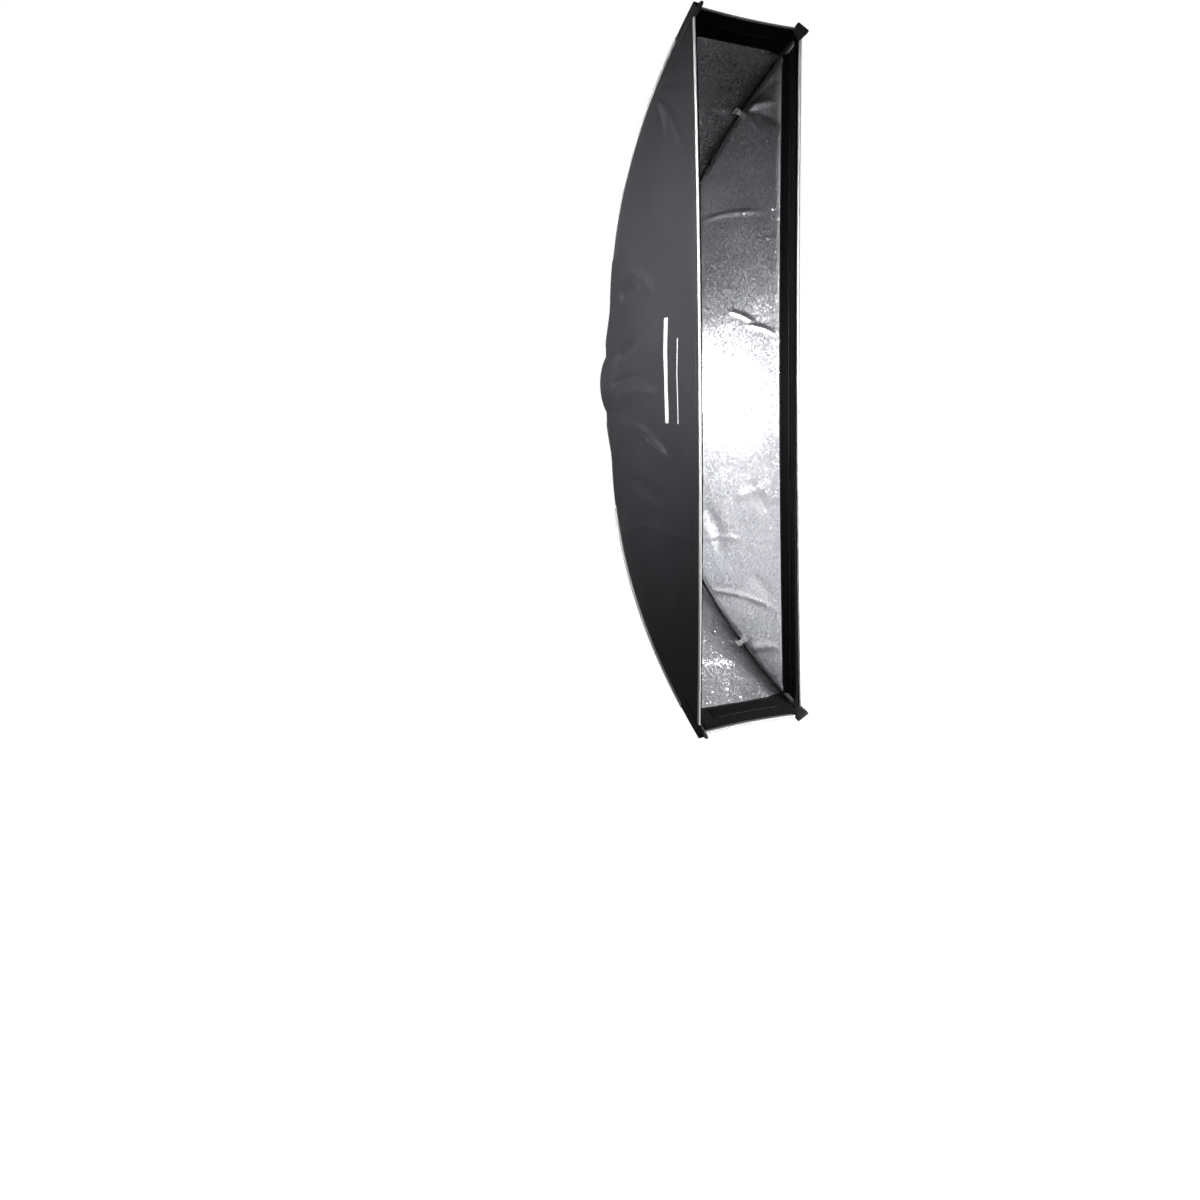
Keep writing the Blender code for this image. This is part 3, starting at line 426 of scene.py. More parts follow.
def silver_cloth(name, colour, size, relief, glitter, sparkle):
    """The pressed metal film, with painted shade in the dents between its pebbles, brushed a little
    duller and darker in wide cloudy patches.
    """
    material, tree, shader = finish(name, colour, 0.30, 0.92)
    pebbles = use_group(
        tree, PEBBLES, Size=size, Relief=relief, Glitter=glitter, Sparkle=sparkle
    )
    tree.links.new(pebbles["Normal"], shader.inputs["Normal"])
    where = node(tree, "TexCoord").outputs["Object"]
    clouds = noise(tree, where, 9, 3)
    cloudy = maths(tree, "MULTIPLY_ADD", clouds, 0.2, 0.68)
    # Painted shade: the colour is darker in the dents between pebbles, and cloudy patches vary it.
    shade = maths(tree, "MULTIPLY_ADD", pebbles["DentShade"], 0.25, cloudy)
    tree.links.new(toned(tree, colour, shade), shader.inputs["Base Color"])
    dull = maths(tree, "MULTIPLY_ADD", clouds, 0.16, 0.27)
    tree.links.new(dull, shader.inputs["Roughness"])
    return material


SILVER = silver_cloth("silver_cloth", (0.80, 0.80, 0.82), 0.0024, 0.55, 0.32, 0.6)
# The end panels hang looser, so their pebbles lie rougher and throw less light forward. Their colour is
# also darker than the side lining's, which is painted shade on the same cloth.
SHADED_SILVER_END = silver_cloth("shaded_silver_end_cloth", (0.50, 0.50, 0.52), 0.0030, 0.85, 0.60, 2.2)
print("cloths:", [m.name for m in bpy.data.materials if m.use_nodes][:12])

# %% [markdown]
# ### Hard finishes
# These go straight onto the CAD parts. The rods have a black varnish that still shows bright
# edges of light, the speedring is black anodised, and the insert that locks to the lamp is
# left bare where it slides. Assigning to an object's material slot changes its look and
# leaves its mesh alone.

# %% Hard finishes on the CAD parts
BLACK, WORN = (0.018, 0.018, 0.020), (0.42, 0.42, 0.43)
# each row: name, colour, bare colour, roughness, metallic, scratches, smudges, edges, coat
HARD_ROWS = {
    "rod_": ("rod_varnish", 0.004, 0.05, 0.34, 0.0, 0.25, 0.2, 0.3, 0.15),
    "rod_tip": ("tip_rubber", 0.016, 0.05, 0.72, 0.0, 0.2, 0.4, 0.5, 0.0),
    "rod_socket": ("zinc_steel", (0.55, 0.56, 0.58), 0.8, 0.36, 1.0, 0.5, 0.5, 0.5, 0.0),
    "speedring": ("black_anodised", BLACK, WORN, 0.42, 0.55, 0.4, 0.3, 0.7, 0.0),
    "retaining_ring": ("ring_anodised", (0.022, 0.022, 0.024), WORN, 0.38, 0.6, 0.5, 0.3, 0.7, 0.0),
    "bayonet_plate": ("bare_aluminium", (0.70, 0.70, 0.71), 0.86, 0.34, 1.0, 0.6, 0.3, 0.5, 0.0),
    "retaining_screw": ("screw_steel", (0.50, 0.50, 0.51), 0.75, 0.30, 1.0, 0.4, 0.3, 0.5, 0.0),
    "lock_stud": ("stud_steel", (0.52, 0.52, 0.54), 0.78, 0.30, 1.0, 0.5, 0.3, 0.5, 0.0),
    "lock_knob": ("knob_plastic", (0.016, 0.016, 0.017), 0.06, 0.48, 0.0, 0.15, 0.4, 0.6, 0.0),
}


def grey(tone):
    return (tone, tone, tone) if isinstance(tone, float) else tone


HARD = {}
for key, (label, colour, bare, *rest) in HARD_ROWS.items():
    HARD[key] = rubbed(label, grey(colour), grey(bare), *rest)


def dress_hard_parts():
    dressed = []
    for name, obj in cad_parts.items():
        keys = [key for key in HARD if name.startswith(key)]
        if keys and not name.startswith("rod_loop"):
            for socket in obj.material_slots:
                socket.material = HARD[max(keys, key=len)]
            dressed.append(name)
    return dressed


print("dressed:", len(dress_hard_parts()), "CAD parts")

# %% [markdown]
# ## The shell's surfaces
# Every cloth piece hangs on the same few surfaces, so they are written once, as functions of
# plain numbers. A rod bends the corner seam into a curve, the side wall runs straight from
# the rim to that seam, and the end wall is level across. numpy works on whole grids at once,
# so a sheet of fifty thousand points takes a moment. Stretched cloth also pulls its own rim
# in between the corners, which gives the rim its slight waist.

# %% Seam, walls and rim
HALF_WIDTH, HALF_HEIGHT, RIM_Y = 0.150, 0.700, -0.3655
FABRIC_DEPTH, SIDE_DEPTH, SEAM_BOW, SPLAY = 0.364, 0.359, 2.25, 0.76
NECK_RADIUS, NECK_HALF = 0.0775, 0.060
NECK_X = math.sqrt(NECK_RADIUS**2 - NECK_HALF**2)
RIM_WAIST = {-1: 0.0105, 1: 0.0070}  # how far each side of the rim is pulled in at mid height
END_WAIST = 0.004
LAYERS = 0.003  # outer skin to the lining's inner face
SLACK_OUT, SLACK_BACK, SLACK_REACH = 0.008, 0.010, 0.17
SMOOTH_HEIGHT = 0.085
SIDES = (("left", -1), ("right", 1))
ENDS = (("top", 1), ("bottom", -1))
CORNERS = [(f"{up}_{side}", sx, sz) for up, sz in ENDS for side, sx in SIDES]


def xyz(x, y, z):
    return np.stack(np.broadcast_arrays(x, y, z), axis=-1).astype(float)


def seam(s):
    """The outer skin's corner along the top right rod, from the neck at 0 to the rim at 1."""
    z = NECK_HALF + (HALF_HEIGHT - NECK_HALF) * s
    x = NECK_X + (HALF_WIDTH - NECK_X) * (SPLAY * s + (1 - SPLAY) * s * s)
    return xyz(x, RIM_Y + FABRIC_DEPTH * (1 - (z / HALF_HEIGHT) ** SEAM_BOW), z)


def seam_share(height):
    return (height - NECK_HALF) / (HALF_HEIGHT - NECK_HALF)


def easing(distance, room):
    t = np.clip(distance / room, 0, 1)
    return t * t * (3 - 2 * t)


def slack_seam(s):
    """The seam as the cloth really lies: loose beside the neck, where nothing pulls it flat."""
    loose = 1 - easing(s, SLACK_REACH)
    return seam(s) + xyz(SLACK_OUT * loose, SLACK_BACK * loose, 0)


def back_edge(z):
    """Where a side wall ends: on the seam, or round the neck close to the ring."""
    height = np.abs(z)
    on_seam = slack_seam(seam_share(np.maximum(height, NECK_HALF)))
    corner = slack_seam(np.array(0.0))
    side_y = RIM_Y + SIDE_DEPTH + 1.05 * SLACK_BACK
    share = np.minimum(height / NECK_HALF, 1)
    neck_y = side_y + (corner[1] - side_y) * share**2
    neck_x = np.sqrt(NECK_RADIUS**2 - (NECK_RADIUS**2 - corner[0] ** 2) * share**2)
    near = height < NECK_HALF
    return xyz(np.where(near, neck_x, on_seam[..., 0]), np.where(near, neck_y, on_seam[..., 1]), z)


def side_wall(z, depth, side):
    """The outer skin of a side wall, at a depth behind the rim. The neck's swell stays near it."""
    waist = RIM_WAIST[side] * (1 - (z / HALF_HEIGHT) ** 2)
    back = back_edge(z)
    share = depth / np.maximum(back[..., 1] - RIM_Y, 1e-5)
    smooth_height = np.minimum(np.hypot(z, SMOOTH_HEIGHT), HALF_HEIGHT)
    straight = slack_seam(seam_share(smooth_height))[..., 0]
    swell = (back[..., 0] - straight) * share**5
    x = (HALF_WIDTH - waist) * (1 - share) + straight * share + swell
    return xyz(side * x, RIM_Y + depth, z)


def end_height(depth):
    return HALF_HEIGHT * (1 - np.minimum(depth / FABRIC_DEPTH, 1)) ** (1 / SEAM_BOW)


def end_wall(s, u, inset, end):
    """The outer skin of an end wall, u from -1 to 1 across it."""
    corner = slack_seam(s)
    width = corner[..., 0] - inset
    rise = np.sqrt(NECK_RADIUS**2 - (u * (NECK_X - inset)) ** 2) - NECK_HALF
    waist = END_WAIST * (1 - u * u) * s**6
    z = corner[..., 2] + rise * (1 - s) ** 8 - waist
    return xyz(u * width, corner[..., 1], end * z)


def seam_tangent(s):
    step = seam(s + 1e-4) - seam(s - 1e-4)
    return step / np.linalg.norm(step, axis=-1, keepdims=True)


def end_normal(s):
    along = seam_tangent(s)
    return xyz(0, along[..., 2], -along[..., 1]) / np.linalg.norm(along[..., 1:], axis=-1, keepdims=True)


print("seam from", seam(0.0).round(4), "to", seam(1.0).round(4))

# %% [markdown]
# ## Folds
# Stretched cloth isn't smooth. It puckers towards the places that pull it, such as the loops
# that hold the rods and the neck, it keeps sharp creases from being folded into its bag, and
# it billows softly between. A cloth simulation could find such folds, but each run settles
# differently when a number changes. Here each crease is written down as a line with a
# width and a height, which gives the same folds every time and lets them be put where the
# real cloth has them.

# %% Creases and billows
def creases(a, b, lines):
    """Height of all the creases at grid points (a, b). A line is a0, b0, a1, b1, width, height."""
    total = np.zeros(np.broadcast(a, b).shape)
    for a0, b0, a1, b1, width, height in lines:
        length = math.hypot(a1 - a0, b1 - b0)
        ua, ub = (a1 - a0) / length, (b1 - b0) / length
        along = ((a - a0) * ua + (b - b0) * ub) / length
        off = (b - b0) * ua - (a - a0) * ub
        bend = 0.06 * length * np.sin(math.pi * np.clip(along, 0, 1))
        fade = np.clip(along / 0.25, 0, 1) * np.clip((1 - along) / 0.35, 0, 1)
        fade = fade * fade * (3 - 2 * fade)
        total += height * fade * np.exp(-(((off - bend) / width) ** 2))
    return total


def billows(a, b, seed, height, longest=0.30, shortest=0.05, count=14):
    """Soft waves in many directions, each lower as it gets shorter."""
    draw = np.random.default_rng(seed)
    total = np.zeros(np.broadcast(a, b).shape)
    for wave in np.geomspace(longest, shortest, count):
        angle, start = draw.uniform(0, math.pi), draw.uniform(0, math.tau)
        phase = math.tau * (a * math.cos(angle) + b * math.sin(angle)) / wave + start
        total += np.sin(phase) * (wave / longest) ** 1.1
    return height * total / math.sqrt(count)


def fan(a, b, from_angle, to_angle, count, reach, width, height):
    """Creases that spread from one pulled point."""
    lines = []
    for i, angle in enumerate(np.radians(np.linspace(from_angle, to_angle, count))):
        length = reach * (1 if i % 2 else 0.65)
        end = a + length * math.cos(angle), b + length * math.sin(angle)
        lines.append((a, b, *end, width, height * (-1) ** i))
    return lines


OUTER_CREASES = {
    -1: [
        (-0.035, 0.334, -0.022, 0.150, 0.010, 0.0030),
        (-0.007, 0.345, 0.012, 0.190, 0.008, -0.0024),
        (-0.075, 0.320, -0.135, 0.150, 0.009, 0.0026),
        (-0.109, 0.209, -0.160, 0.115, 0.006, 0.0034),
        (0.040, 0.335, 0.095, 0.200, 0.012, -0.0028),
        (0.173, 0.315, 0.200, 0.210, 0.016, -0.0034),
        (0.235, 0.300, 0.180, 0.160, 0.014, 0.0020),
        (-0.306, 0.290, -0.322, 0.030, 0.007, 0.0020),
        (-0.200, 0.280, -0.260, 0.120, 0.014, -0.0024),
        *fan(0.56, 0.135, 195, 285, 5, 0.16, 0.008, 0.0012),
        *fan(-0.56, 0.135, 75, 165, 5, 0.16, 0.008, 0.0012),
    ],
    1: [
        (0.339, 0.248, 0.344, 0.060, 0.0045, -0.0026),
        (0.150, 0.165, 0.118, 0.092, 0.0045, -0.0036),
        (0.120, 0.125, 0.090, 0.036, 0.0045, -0.0032),
        (0.262, 0.285, 0.254, 0.240, 0.004, -0.0018),
        (-0.205, 0.120, -0.285, 0.075, 0.012, 0.0040),
        (-0.252, 0.229, -0.381, 0.192, 0.016, 0.0040),
        (-0.339, 0.246, -0.336, 0.120, 0.006, -0.0026),
        (-0.250, 0.155, -0.225, 0.060, 0.010, -0.0030),
        (-0.448, 0.238, -0.485, 0.040, 0.006, -0.0028),
        (-0.405, 0.120, -0.470, 0.060, 0.012, 0.0022),
        *fan(0.56, 0.132, 215, 300, 4, 0.12, 0.007, -0.0016),
        *fan(-0.56, 0.132, 60, 150, 5, 0.15, 0.007, -0.0018),
        (0.562, 0.128, 0.568, 0.045, 0.008, -0.0030),
        (-0.575, 0.130, -0.560, 0.040, 0.008, -0.0030),
    ],
}


CREASE_GAIN = {-1: 1.9, 1: 1.25}  # the left wall hangs a little looser than the right
BILLOW_HEIGHT = {-1: 0.0020, 1: 0.0014}


def side_folds(z, depth, side):
    """How far a side wall's cloth stands out from its smooth surface."""
    reach = back_edge(z)[..., 1] - RIM_Y
    held = easing(depth, 0.05) * easing(reach - depth, 0.035) * easing(reach, 0.08)
    neck = np.exp(-((z / 0.16) ** 2)) * easing(depth, 0.2)
    soft = billows(z, depth, 11 + side, BILLOW_HEIGHT[side]) * (1 + 1.4 * neck)
    return held * (soft + CREASE_GAIN[side] * creases(z, depth, OUTER_CREASES[side]))


print("deepest crease:", max(abs(l[5]) for l in OUTER_CREASES[1]) / MM, "mm")

# %% [markdown]
# ## Making a sheet
# A sheet starts as a grid of points. The faces are flipped if they look the wrong way, a
# Solidify modifier gives the cloth its thickness behind the face that shows, and the piece
# then rides on the softbox's body and stands for its CAD solid. The length and width of the
# cut are measured from the smooth grid.

# %% The sheet builder
def surface(name, points, facing, closed=False):
    """A grid of quads from an array of rows and columns of points, facing a given way."""
    rows, columns = points.shape[:2]
    index = np.arange(rows * columns).reshape(rows, columns)
    if closed:
        index = np.hstack([index, index[:, :1]])
    quads = np.stack([index[:-1, :-1], index[1:, :-1], index[1:, 1:], index[:-1, 1:]], -1).reshape(-1, 4)
    flat = points.reshape(-1, 3)
    first, last = flat[quads[:, 0]], flat[quads[:, 2]]
    normals = np.cross(last - first, flat[quads[:, 3]] - flat[quads[:, 1]])
    if (normals @ np.array(facing, float)).sum() < 0:
        quads = quads[:, ::-1]
    mesh = bpy.data.meshes.new(name)
    mesh.from_pydata(flat.tolist(), [], quads.tolist())
    mesh.shade_smooth()
    return mesh


def piece(name, mesh, material, body, slot, *stands_for):
    obj = bpy.data.objects.new(name, mesh)
    SCENE.collection.objects.link(obj)
    mesh.materials.append(material)
    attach(obj, body)
    if stands_for:
        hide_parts(*stands_for)
    return obj


def longest_line(points):
    return float(np.linalg.norm(np.diff(points, axis=0), axis=-1).sum(axis=0).max())


def cloth(name, points, smooth, facing, thickness, material, slot, stands_for, body="softbox"):
    """A stretched sheet. smooth is the grid without folds, which is what was cut."""
    obj = piece(name, surface(name, points, facing), material, body, slot, *stands_for)
    solid = obj.modifiers.new("cloth", "SOLIDIFY")
    solid.thickness, solid.offset = thickness, -1
    length, width = longest_line(smooth), longest_line(smooth.swapaxes(0, 1))
    return obj


# %% [markdown]
# ### The outer side walls
# Each long side is one flat panel of black polyester. Its front edge follows the rim, its
# back edge follows the two rods and goes round the ring between them. Rows are spaced by the
# same amount all the way, so a crease keeps its shape wherever it lies, and the folds are
# added along the wall's outward side. Where the panel meets a seam it is held flat.

# %% Outer side walls
PANEL_STEP, PANEL_REACH, PANEL_TOP = 0.0032, 0.372, 0.6995
OUTER_THICK, LINING_THICK = 0.0009, 0.0005


def wall_grid(low, high, trim, side, push, lift=None):
    """Points of a side wall between two heights; push moves it inwards from the outer skin."""
    count = int((high - low) / PANEL_STEP)
    z = np.linspace(low, high, count)[:, None]
    v = np.linspace(0, 1, int(PANEL_REACH / PANEL_STEP))[None, :]
    reach = np.maximum(back_edge(z)[..., 1] - RIM_Y - trim, 0.0004)
    depth = reach * v
    points = side_wall(z, depth, side)
    points[..., 0] -= side * push
    if lift is not None:
        points[..., 0] += side * lift(z, depth, side)
    return points


for name, side in SIDES:
    smooth = wall_grid(-PANEL_TOP, PANEL_TOP, 0.0003, side, 0.0)
    folded = wall_grid(-PANEL_TOP, PANEL_TOP, 0.0003, side, 0.0, side_folds)
    finish_here = PRINTED if side < 0 else POLYESTER
    cloth(
        f"wall_cloth_{name}", folded, smooth, (side, 0, 0), OUTER_THICK, finish_here,
        "black_cloth", [f"side_wall_{name}"],
    )

# %% [markdown]
# ### The silver side linings
# The lining is a second panel, sewn in behind the first along every edge. It shares the outer
# panel's folds, because the two hang together, and has small puckers of its own near the
# loops. It stops short of the rods' seams and runs forward under the lip.

# %% Silver side linings
LINING_BACK, LINING_TOP = 0.0019, 0.690


def lining_folds(z, depth, side):
    reach = back_edge(z)[..., 1] - RIM_Y
    held = easing(depth, 0.05) * easing(reach - depth, 0.03)
    puckers = billows(z, depth, 31 + side, 0.00060, 0.09, 0.016, 12)
    return side_folds(z, depth, side) + held * puckers


for name, side in SIDES:
    smooth = wall_grid(-LINING_TOP, LINING_TOP, 0.004, side, LINING_BACK)
    folded = wall_grid(-LINING_TOP, LINING_TOP, 0.004, side, LINING_BACK, lining_folds)
    cloth(
        f"silver_side_{name}", folded, smooth, (-side, 0, 0), LINING_THICK, SILVER,
        "silver_cloth", [f"side_lining_{name}"],
    )

# %% [markdown]
# ### The end walls and their linings
# The top and bottom panels are long tongues, wide at the rim and narrow at the ring, that lie
# between two rods and curve with them. A tongue of stiff cloth bent one way can't also bend
# across, so it stays straight from rod to rod. Its folds run across it where the loops pull.

# %% End walls and linings
END_CREASES = {
    1: [
        (-0.142, 0.235, -0.115, 0.205, 0.010, -0.0030),
        (-0.135, 0.225, 0.120, 0.062, 0.020, -0.0085),
        (-0.100, 0.150, 0.125, 0.100, 0.006, 0.0016),
        (0.118, 0.140, 0.060, 0.150, 0.006, -0.0030),
        (-0.118, 0.140, -0.040, 0.128, 0.006, -0.0022),
    ],
    -1: [
        (-0.130, 0.215, 0.080, 0.180, 0.009, -0.0040),
        (-0.100, 0.120, 0.120, 0.100, 0.008, -0.0040),
        (-0.020, 0.205, 0.055, 0.080, 0.010, -0.0030),
        (0.118, 0.140, 0.050, 0.160, 0.006, -0.0032),
        (-0.118, 0.140, -0.050, 0.150, 0.006, -0.0024),
    ],
}


def end_folds(points, s, u, end):
    """How far an end wall's cloth stands out from its smooth surface."""
    depth, x = points[..., 1] - RIM_Y, points[..., 0]
    held = easing(1 - np.abs(u), 0.12) * easing(depth, 0.05) * easing(s, 0.06)
    soft = billows(x, depth, 51 + end, 0.0010, 0.2, 0.03)
    return held * (creases(x, depth, END_CREASES[end]) + soft)


def end_grid(low, high, inset, end, push, folded):
    """Points of an end wall between two shares of the seam; push moves it inwards."""
    s = np.linspace(low, high, 250)[:, None]
    u = np.linspace(-1, 1, 84)[None, :]
    points = end_wall(s, u, inset, 1)
    lift = end_folds(points, s, u, end) if folded else 0 * points[..., 0]
    points = points + end_normal(s) * (lift - push)[..., None]
    points[..., 2] *= end
    return points


for name, end in ENDS:
    edge = end_grid(0.0, 0.9995, 0.0004, end, 0.0, False)
    folds = end_grid(0.0, 0.9995, 0.0004, end, 0.0, True)
    cloth(
        f"end_cloth_{name}", folds, edge, (0, 0.4, end), OUTER_THICK, POLYESTER,
        "black_cloth", [f"end_wall_{name}"],
    )
    edge = end_grid(0.012, 0.985, 0.005, end, LINING_BACK, False)
    folds = end_grid(0.012, 0.985, 0.005, end, LINING_BACK, True)
    # The end linings take the darker silver, whose colour is painted shade.
    cloth(
        f"silver_end_{name}", folds, edge, (0, -0.4, -end), LINING_THICK, SHADED_SILVER_END,
        "silver_cloth", [f"end_lining_{name}"],
    )

# %% [markdown]
# ## The front lip
# The rim is a folded hem with a band of plain black cloth behind it. The hem faces the front
# and catches the light as a thin dark grey frame, and the band turns in at a right angle and
# stays black. Its section is a short list of points, from the rim to the band's sewn edge,
# rounded off with more points in between, and swept along each side.

# %% Lip sections
LIP_DEPTHS = np.array([0.0008, 0.0000, 0.0006, 0.0040, 0.0120, 0.0260, 0.0400])
LIP_HEIGHTS = np.array([0.0004, 0.0030, 0.0070, 0.0084, 0.0076, 0.0046, 0.0012])
LIP_CORNER_GAP, LIP_RISE, RISE_ROOM, LIP_WAVES = 0.026, 0.0075, 0.060, 0.0006


def lip_section(count=36):
    """Depths and heights along the lip, evenly spaced over its section."""
    steps = np.hypot(np.diff(LIP_DEPTHS), np.diff(LIP_HEIGHTS))
    run = np.concatenate([[0], np.cumsum(steps)]) / steps.sum()
    place = np.linspace(0, 1, count) ** 1.25
    return np.interp(place, run, LIP_DEPTHS), np.interp(place, run, LIP_HEIGHTS)


def corner_rise(distance):
    return LIP_RISE * easing(RISE_ROOM - distance, RISE_ROOM)


def pucker(along, across, seed, height):
    """The small waves that a sewing machine leaves along a hem."""
    draw = np.random.default_rng(seed)
    lengths = (0.019, 0.031, 0.053, 0.11)
    waves = sum(np.sin(math.tau * along / w + draw.uniform(0, 6)) for w in lengths)
    return height * waves / 2 * np.sin(math.pi * np.clip(across, 0, 1))


def side_lip_grid(side):
    depth, height = lip_section()
    z = np.linspace(-0.686, 0.686, 460)[:, None]
    v = np.linspace(0, 1, len(depth))[None, :]
    reach = back_edge(z)[..., 1] - RIM_Y
    room = np.clip((reach - LIP_CORNER_GAP) / LIP_DEPTHS[-1], 0.05, 1)
    rise = corner_rise(HALF_HEIGHT - np.abs(z)) * (v > 0)
    lift = height[None, :] + rise + pucker(z, v, 5 + side, LIP_WAVES)
    points = side_wall(z, depth[None, :] * room, side)
    points[..., 0] -= side * (LAYERS + lift)
    return points


def end_lip_grid(end):
    depth, height = lip_section()
    u = np.linspace(-1, 1, 120)[:, None]
    v = np.linspace(0, 1, len(depth))[None, :]
    slope = np.gradient(end_height(depth), depth + np.arange(len(depth)) * 1e-9)
    steep = np.sqrt(1 + np.clip(slope, -1.2, 0) ** 2)
    half = HALF_WIDTH - LAYERS - 0.0160 - 0.08 * depth
    x = half * u
    rise = corner_rise(HALF_WIDTH - np.abs(x)) * (v > 0)
    z = end_height(depth) - LAYERS * steep - height - rise - pucker(x, v, 8 + end, LIP_WAVES)
    z = z - END_WAIST * (1 - u * u) * (1 - v)
    return xyz(x, RIM_Y + depth, end * z)


def lip(name, grid, facing):
    cloth(
        f"black_lip_{name}", grid, grid, facing, 0.0008, LIP_CLOTH, "lip_cloth", [f"lip_{name}"],
    )


for name, side in SIDES:
    lip(name, side_lip_grid(side), (-side, 0, 0))
for name, end in ENDS:
    lip(name, end_lip_grid(end), (0, 0, -end))

# %% [markdown]
# ### Loop tape
# Loop tape runs round the lip, for a front diffuser. It is a soft pile on a woven backing
# with a bare selvedge along both edges, where it is sewn down. The pile is made as relief: the
# tape's middle stands higher than its edges, and the finish breaks it into fibres.

# %% Loop tape
TAPE_FROM, TAPE_TO, TAPE_RISE, TAPE_CLEAR = 0.011, 0.037, 0.0011, 0.0004


def tape_heights(depth):
    """The lip's height at a depth, read off its section."""
    return np.interp(depth, LIP_DEPTHS[3:], LIP_HEIGHTS[3:])


def tape_crown(v):
    return TAPE_RISE * (0.35 + 0.65 * easing(np.minimum(v, 1 - v), 0.10))


def side_tape_grid(side):
    z = np.linspace(-0.655, 0.655, 520)[:, None]
    v = np.linspace(0, 1, 24)[None, :]
    depth = TAPE_FROM + (TAPE_TO - TAPE_FROM) * v
    lift = tape_heights(depth) + corner_rise(HALF_HEIGHT - np.abs(z)) + tape_crown(v)
    points = side_wall(z, depth, side)
    points[..., 0] -= side * (LAYERS + lift + TAPE_CLEAR)
    return points


def end_tape_grid(end):
    u = np.linspace(-1, 1, 90)[:, None]
    v = np.linspace(0, 1, 24)[None, :]
    depth = TAPE_FROM + (TAPE_TO - TAPE_FROM) * v
    x = (HALF_WIDTH - RISE_ROOM) * u
    slope = (end_height(depth + 1e-4) - end_height(depth)) / 1e-4
    rise = corner_rise(HALF_WIDTH - np.abs(x))
    z = end_height(depth) - LAYERS * np.sqrt(1 + slope**2) - tape_heights(depth) - rise
    waist = END_WAIST * (1 - u * u) * (0.5 - 0.5 * v)
    return xyz(x, RIM_Y + depth, end * (z - tape_crown(v) - TAPE_CLEAR - waist))


def tape(name, grid, facing):
    node_name = f"loop_tape_{name}"
    cloth(f"pile_{name}", grid, grid, facing, 0.0007, LOOP_PILE, "loop_pile", [node_name])


for name, side in SIDES:
    tape(name, side_tape_grid(side), (-side, 0, 0))
for name, end in ENDS:
    tape(name, end_tape_grid(end), (0, 0, -end))

# %% [markdown]
# ## Stitches
# A row of stitches is what turns a sheet into something sewn. Each stitch is a short bead of
# thread that dips into the cloth at both ends. One mesh holds a whole row: the same small
# four-sided bead is copied along the line, turned to follow it, and pressed half into the
# cloth.

# %% The stitch maker
STITCH_PITCH, STITCH_LENGTH, STITCH_RADIUS = 0.0042, 0.0032, 0.00042
BEAD = [(-0.5, 0.0), (-0.34, 0.75), (0.0, 1.0), (0.34, 0.75), (0.5, 0.0)]


def even_line(points, pitch):
    """Places and directions at an even pitch along a line of points."""
    steps = np.linalg.norm(np.diff(points, axis=0), axis=1)
    run = np.concatenate([[0], np.cumsum(steps)])
    places = np.arange(pitch / 2, run[-1], pitch)
    at = np.stack([np.interp(places, run, points[:, i]) for i in range(3)], -1)
    ahead = np.stack([np.interp(places + 1e-4, run, points[:, i]) for i in range(3)], -1)
    behind = np.stack([np.interp(places - 1e-4, run, points[:, i]) for i in range(3)], -1)
    along = ahead - behind
    return at, along / np.linalg.norm(along, axis=1, keepdims=True)


def stitches(name, lines, facing, body="softbox", slot="black_cloth"):
    """Rows of stitches along lines of points. facing is the way the cloth faces there."""
    verts, faces = [], []
    for line in lines:
        at, along = even_line(np.asarray(line, float), STITCH_PITCH)
        out = np.array(facing, float) - along * (along @ np.array(facing, float))[:, None]
        out /= np.linalg.norm(out, axis=1, keepdims=True)
        across = np.cross(along, out)
        for place, a, o, c in zip(at, along, out, across):
            base = len(verts)
            for step, wide in BEAD:
                for turn in range(4):
                    angle = math.tau * (turn + 0.5) / 4
                    ring = c * math.cos(angle) + o * (math.sin(angle) + 0.2)
                    verts.append(place + a * step * STITCH_LENGTH + ring * wide * STITCH_RADIUS)
            for ring in range(len(BEAD) - 1):
                for turn in range(4):
                    low, after = base + ring * 4 + turn, base + ring * 4 + (turn + 1) % 4
                    faces.append((low, after, after + 4, low + 4))
    mesh = bpy.data.meshes.new(name)
    mesh.from_pydata([tuple(v) for v in verts], [], faces)
    mesh.shade_smooth()
    return piece(name, mesh, THREAD, body, slot)


def on_side_wall(side, depth, low, high, clear, lift=side_folds):
    z = np.linspace(low, high, 200)
    points = side_wall(z, np.full_like(z, depth), side)
    points[:, 0] += side * (clear + lift(z, np.full_like(z, depth), side))
    return points


for name, side in SIDES:
    rows = [on_side_wall(side, depth, -0.66, 0.66, 0.0002) for depth in (0.006, 0.013)]
    stitches(f"rim_stitches_{name}", rows, (side, 0, 0))
    grid = side_tape_grid(side)
    stitches(f"tape_stitches_{name}", [grid[:, 1], grid[:, -2]], (-side, 0, 0), slot="loop_pile")
for name, end in ENDS:
    grid = end_tape_grid(end)
    stitches(f"tape_stitches_{name}", [grid[:, 1], grid[:, -2]], (0, 0, -end), slot="loop_pile")

# %% [markdown]
# ## Piping
# Piping is a cord wrapped in a strip of pale cloth whose two edges are sewn into the seam. It
# stiffens the edge and draws a thin light line round the whole box. A tube follows the seam,
# swells a little between its stitches, and a narrow flange runs from it into the seam.

# %% The piping maker
PIPING_RADIUS = 0.0021
POCKET_START = 1 - 0.050 / (HALF_HEIGHT - NECK_HALF)


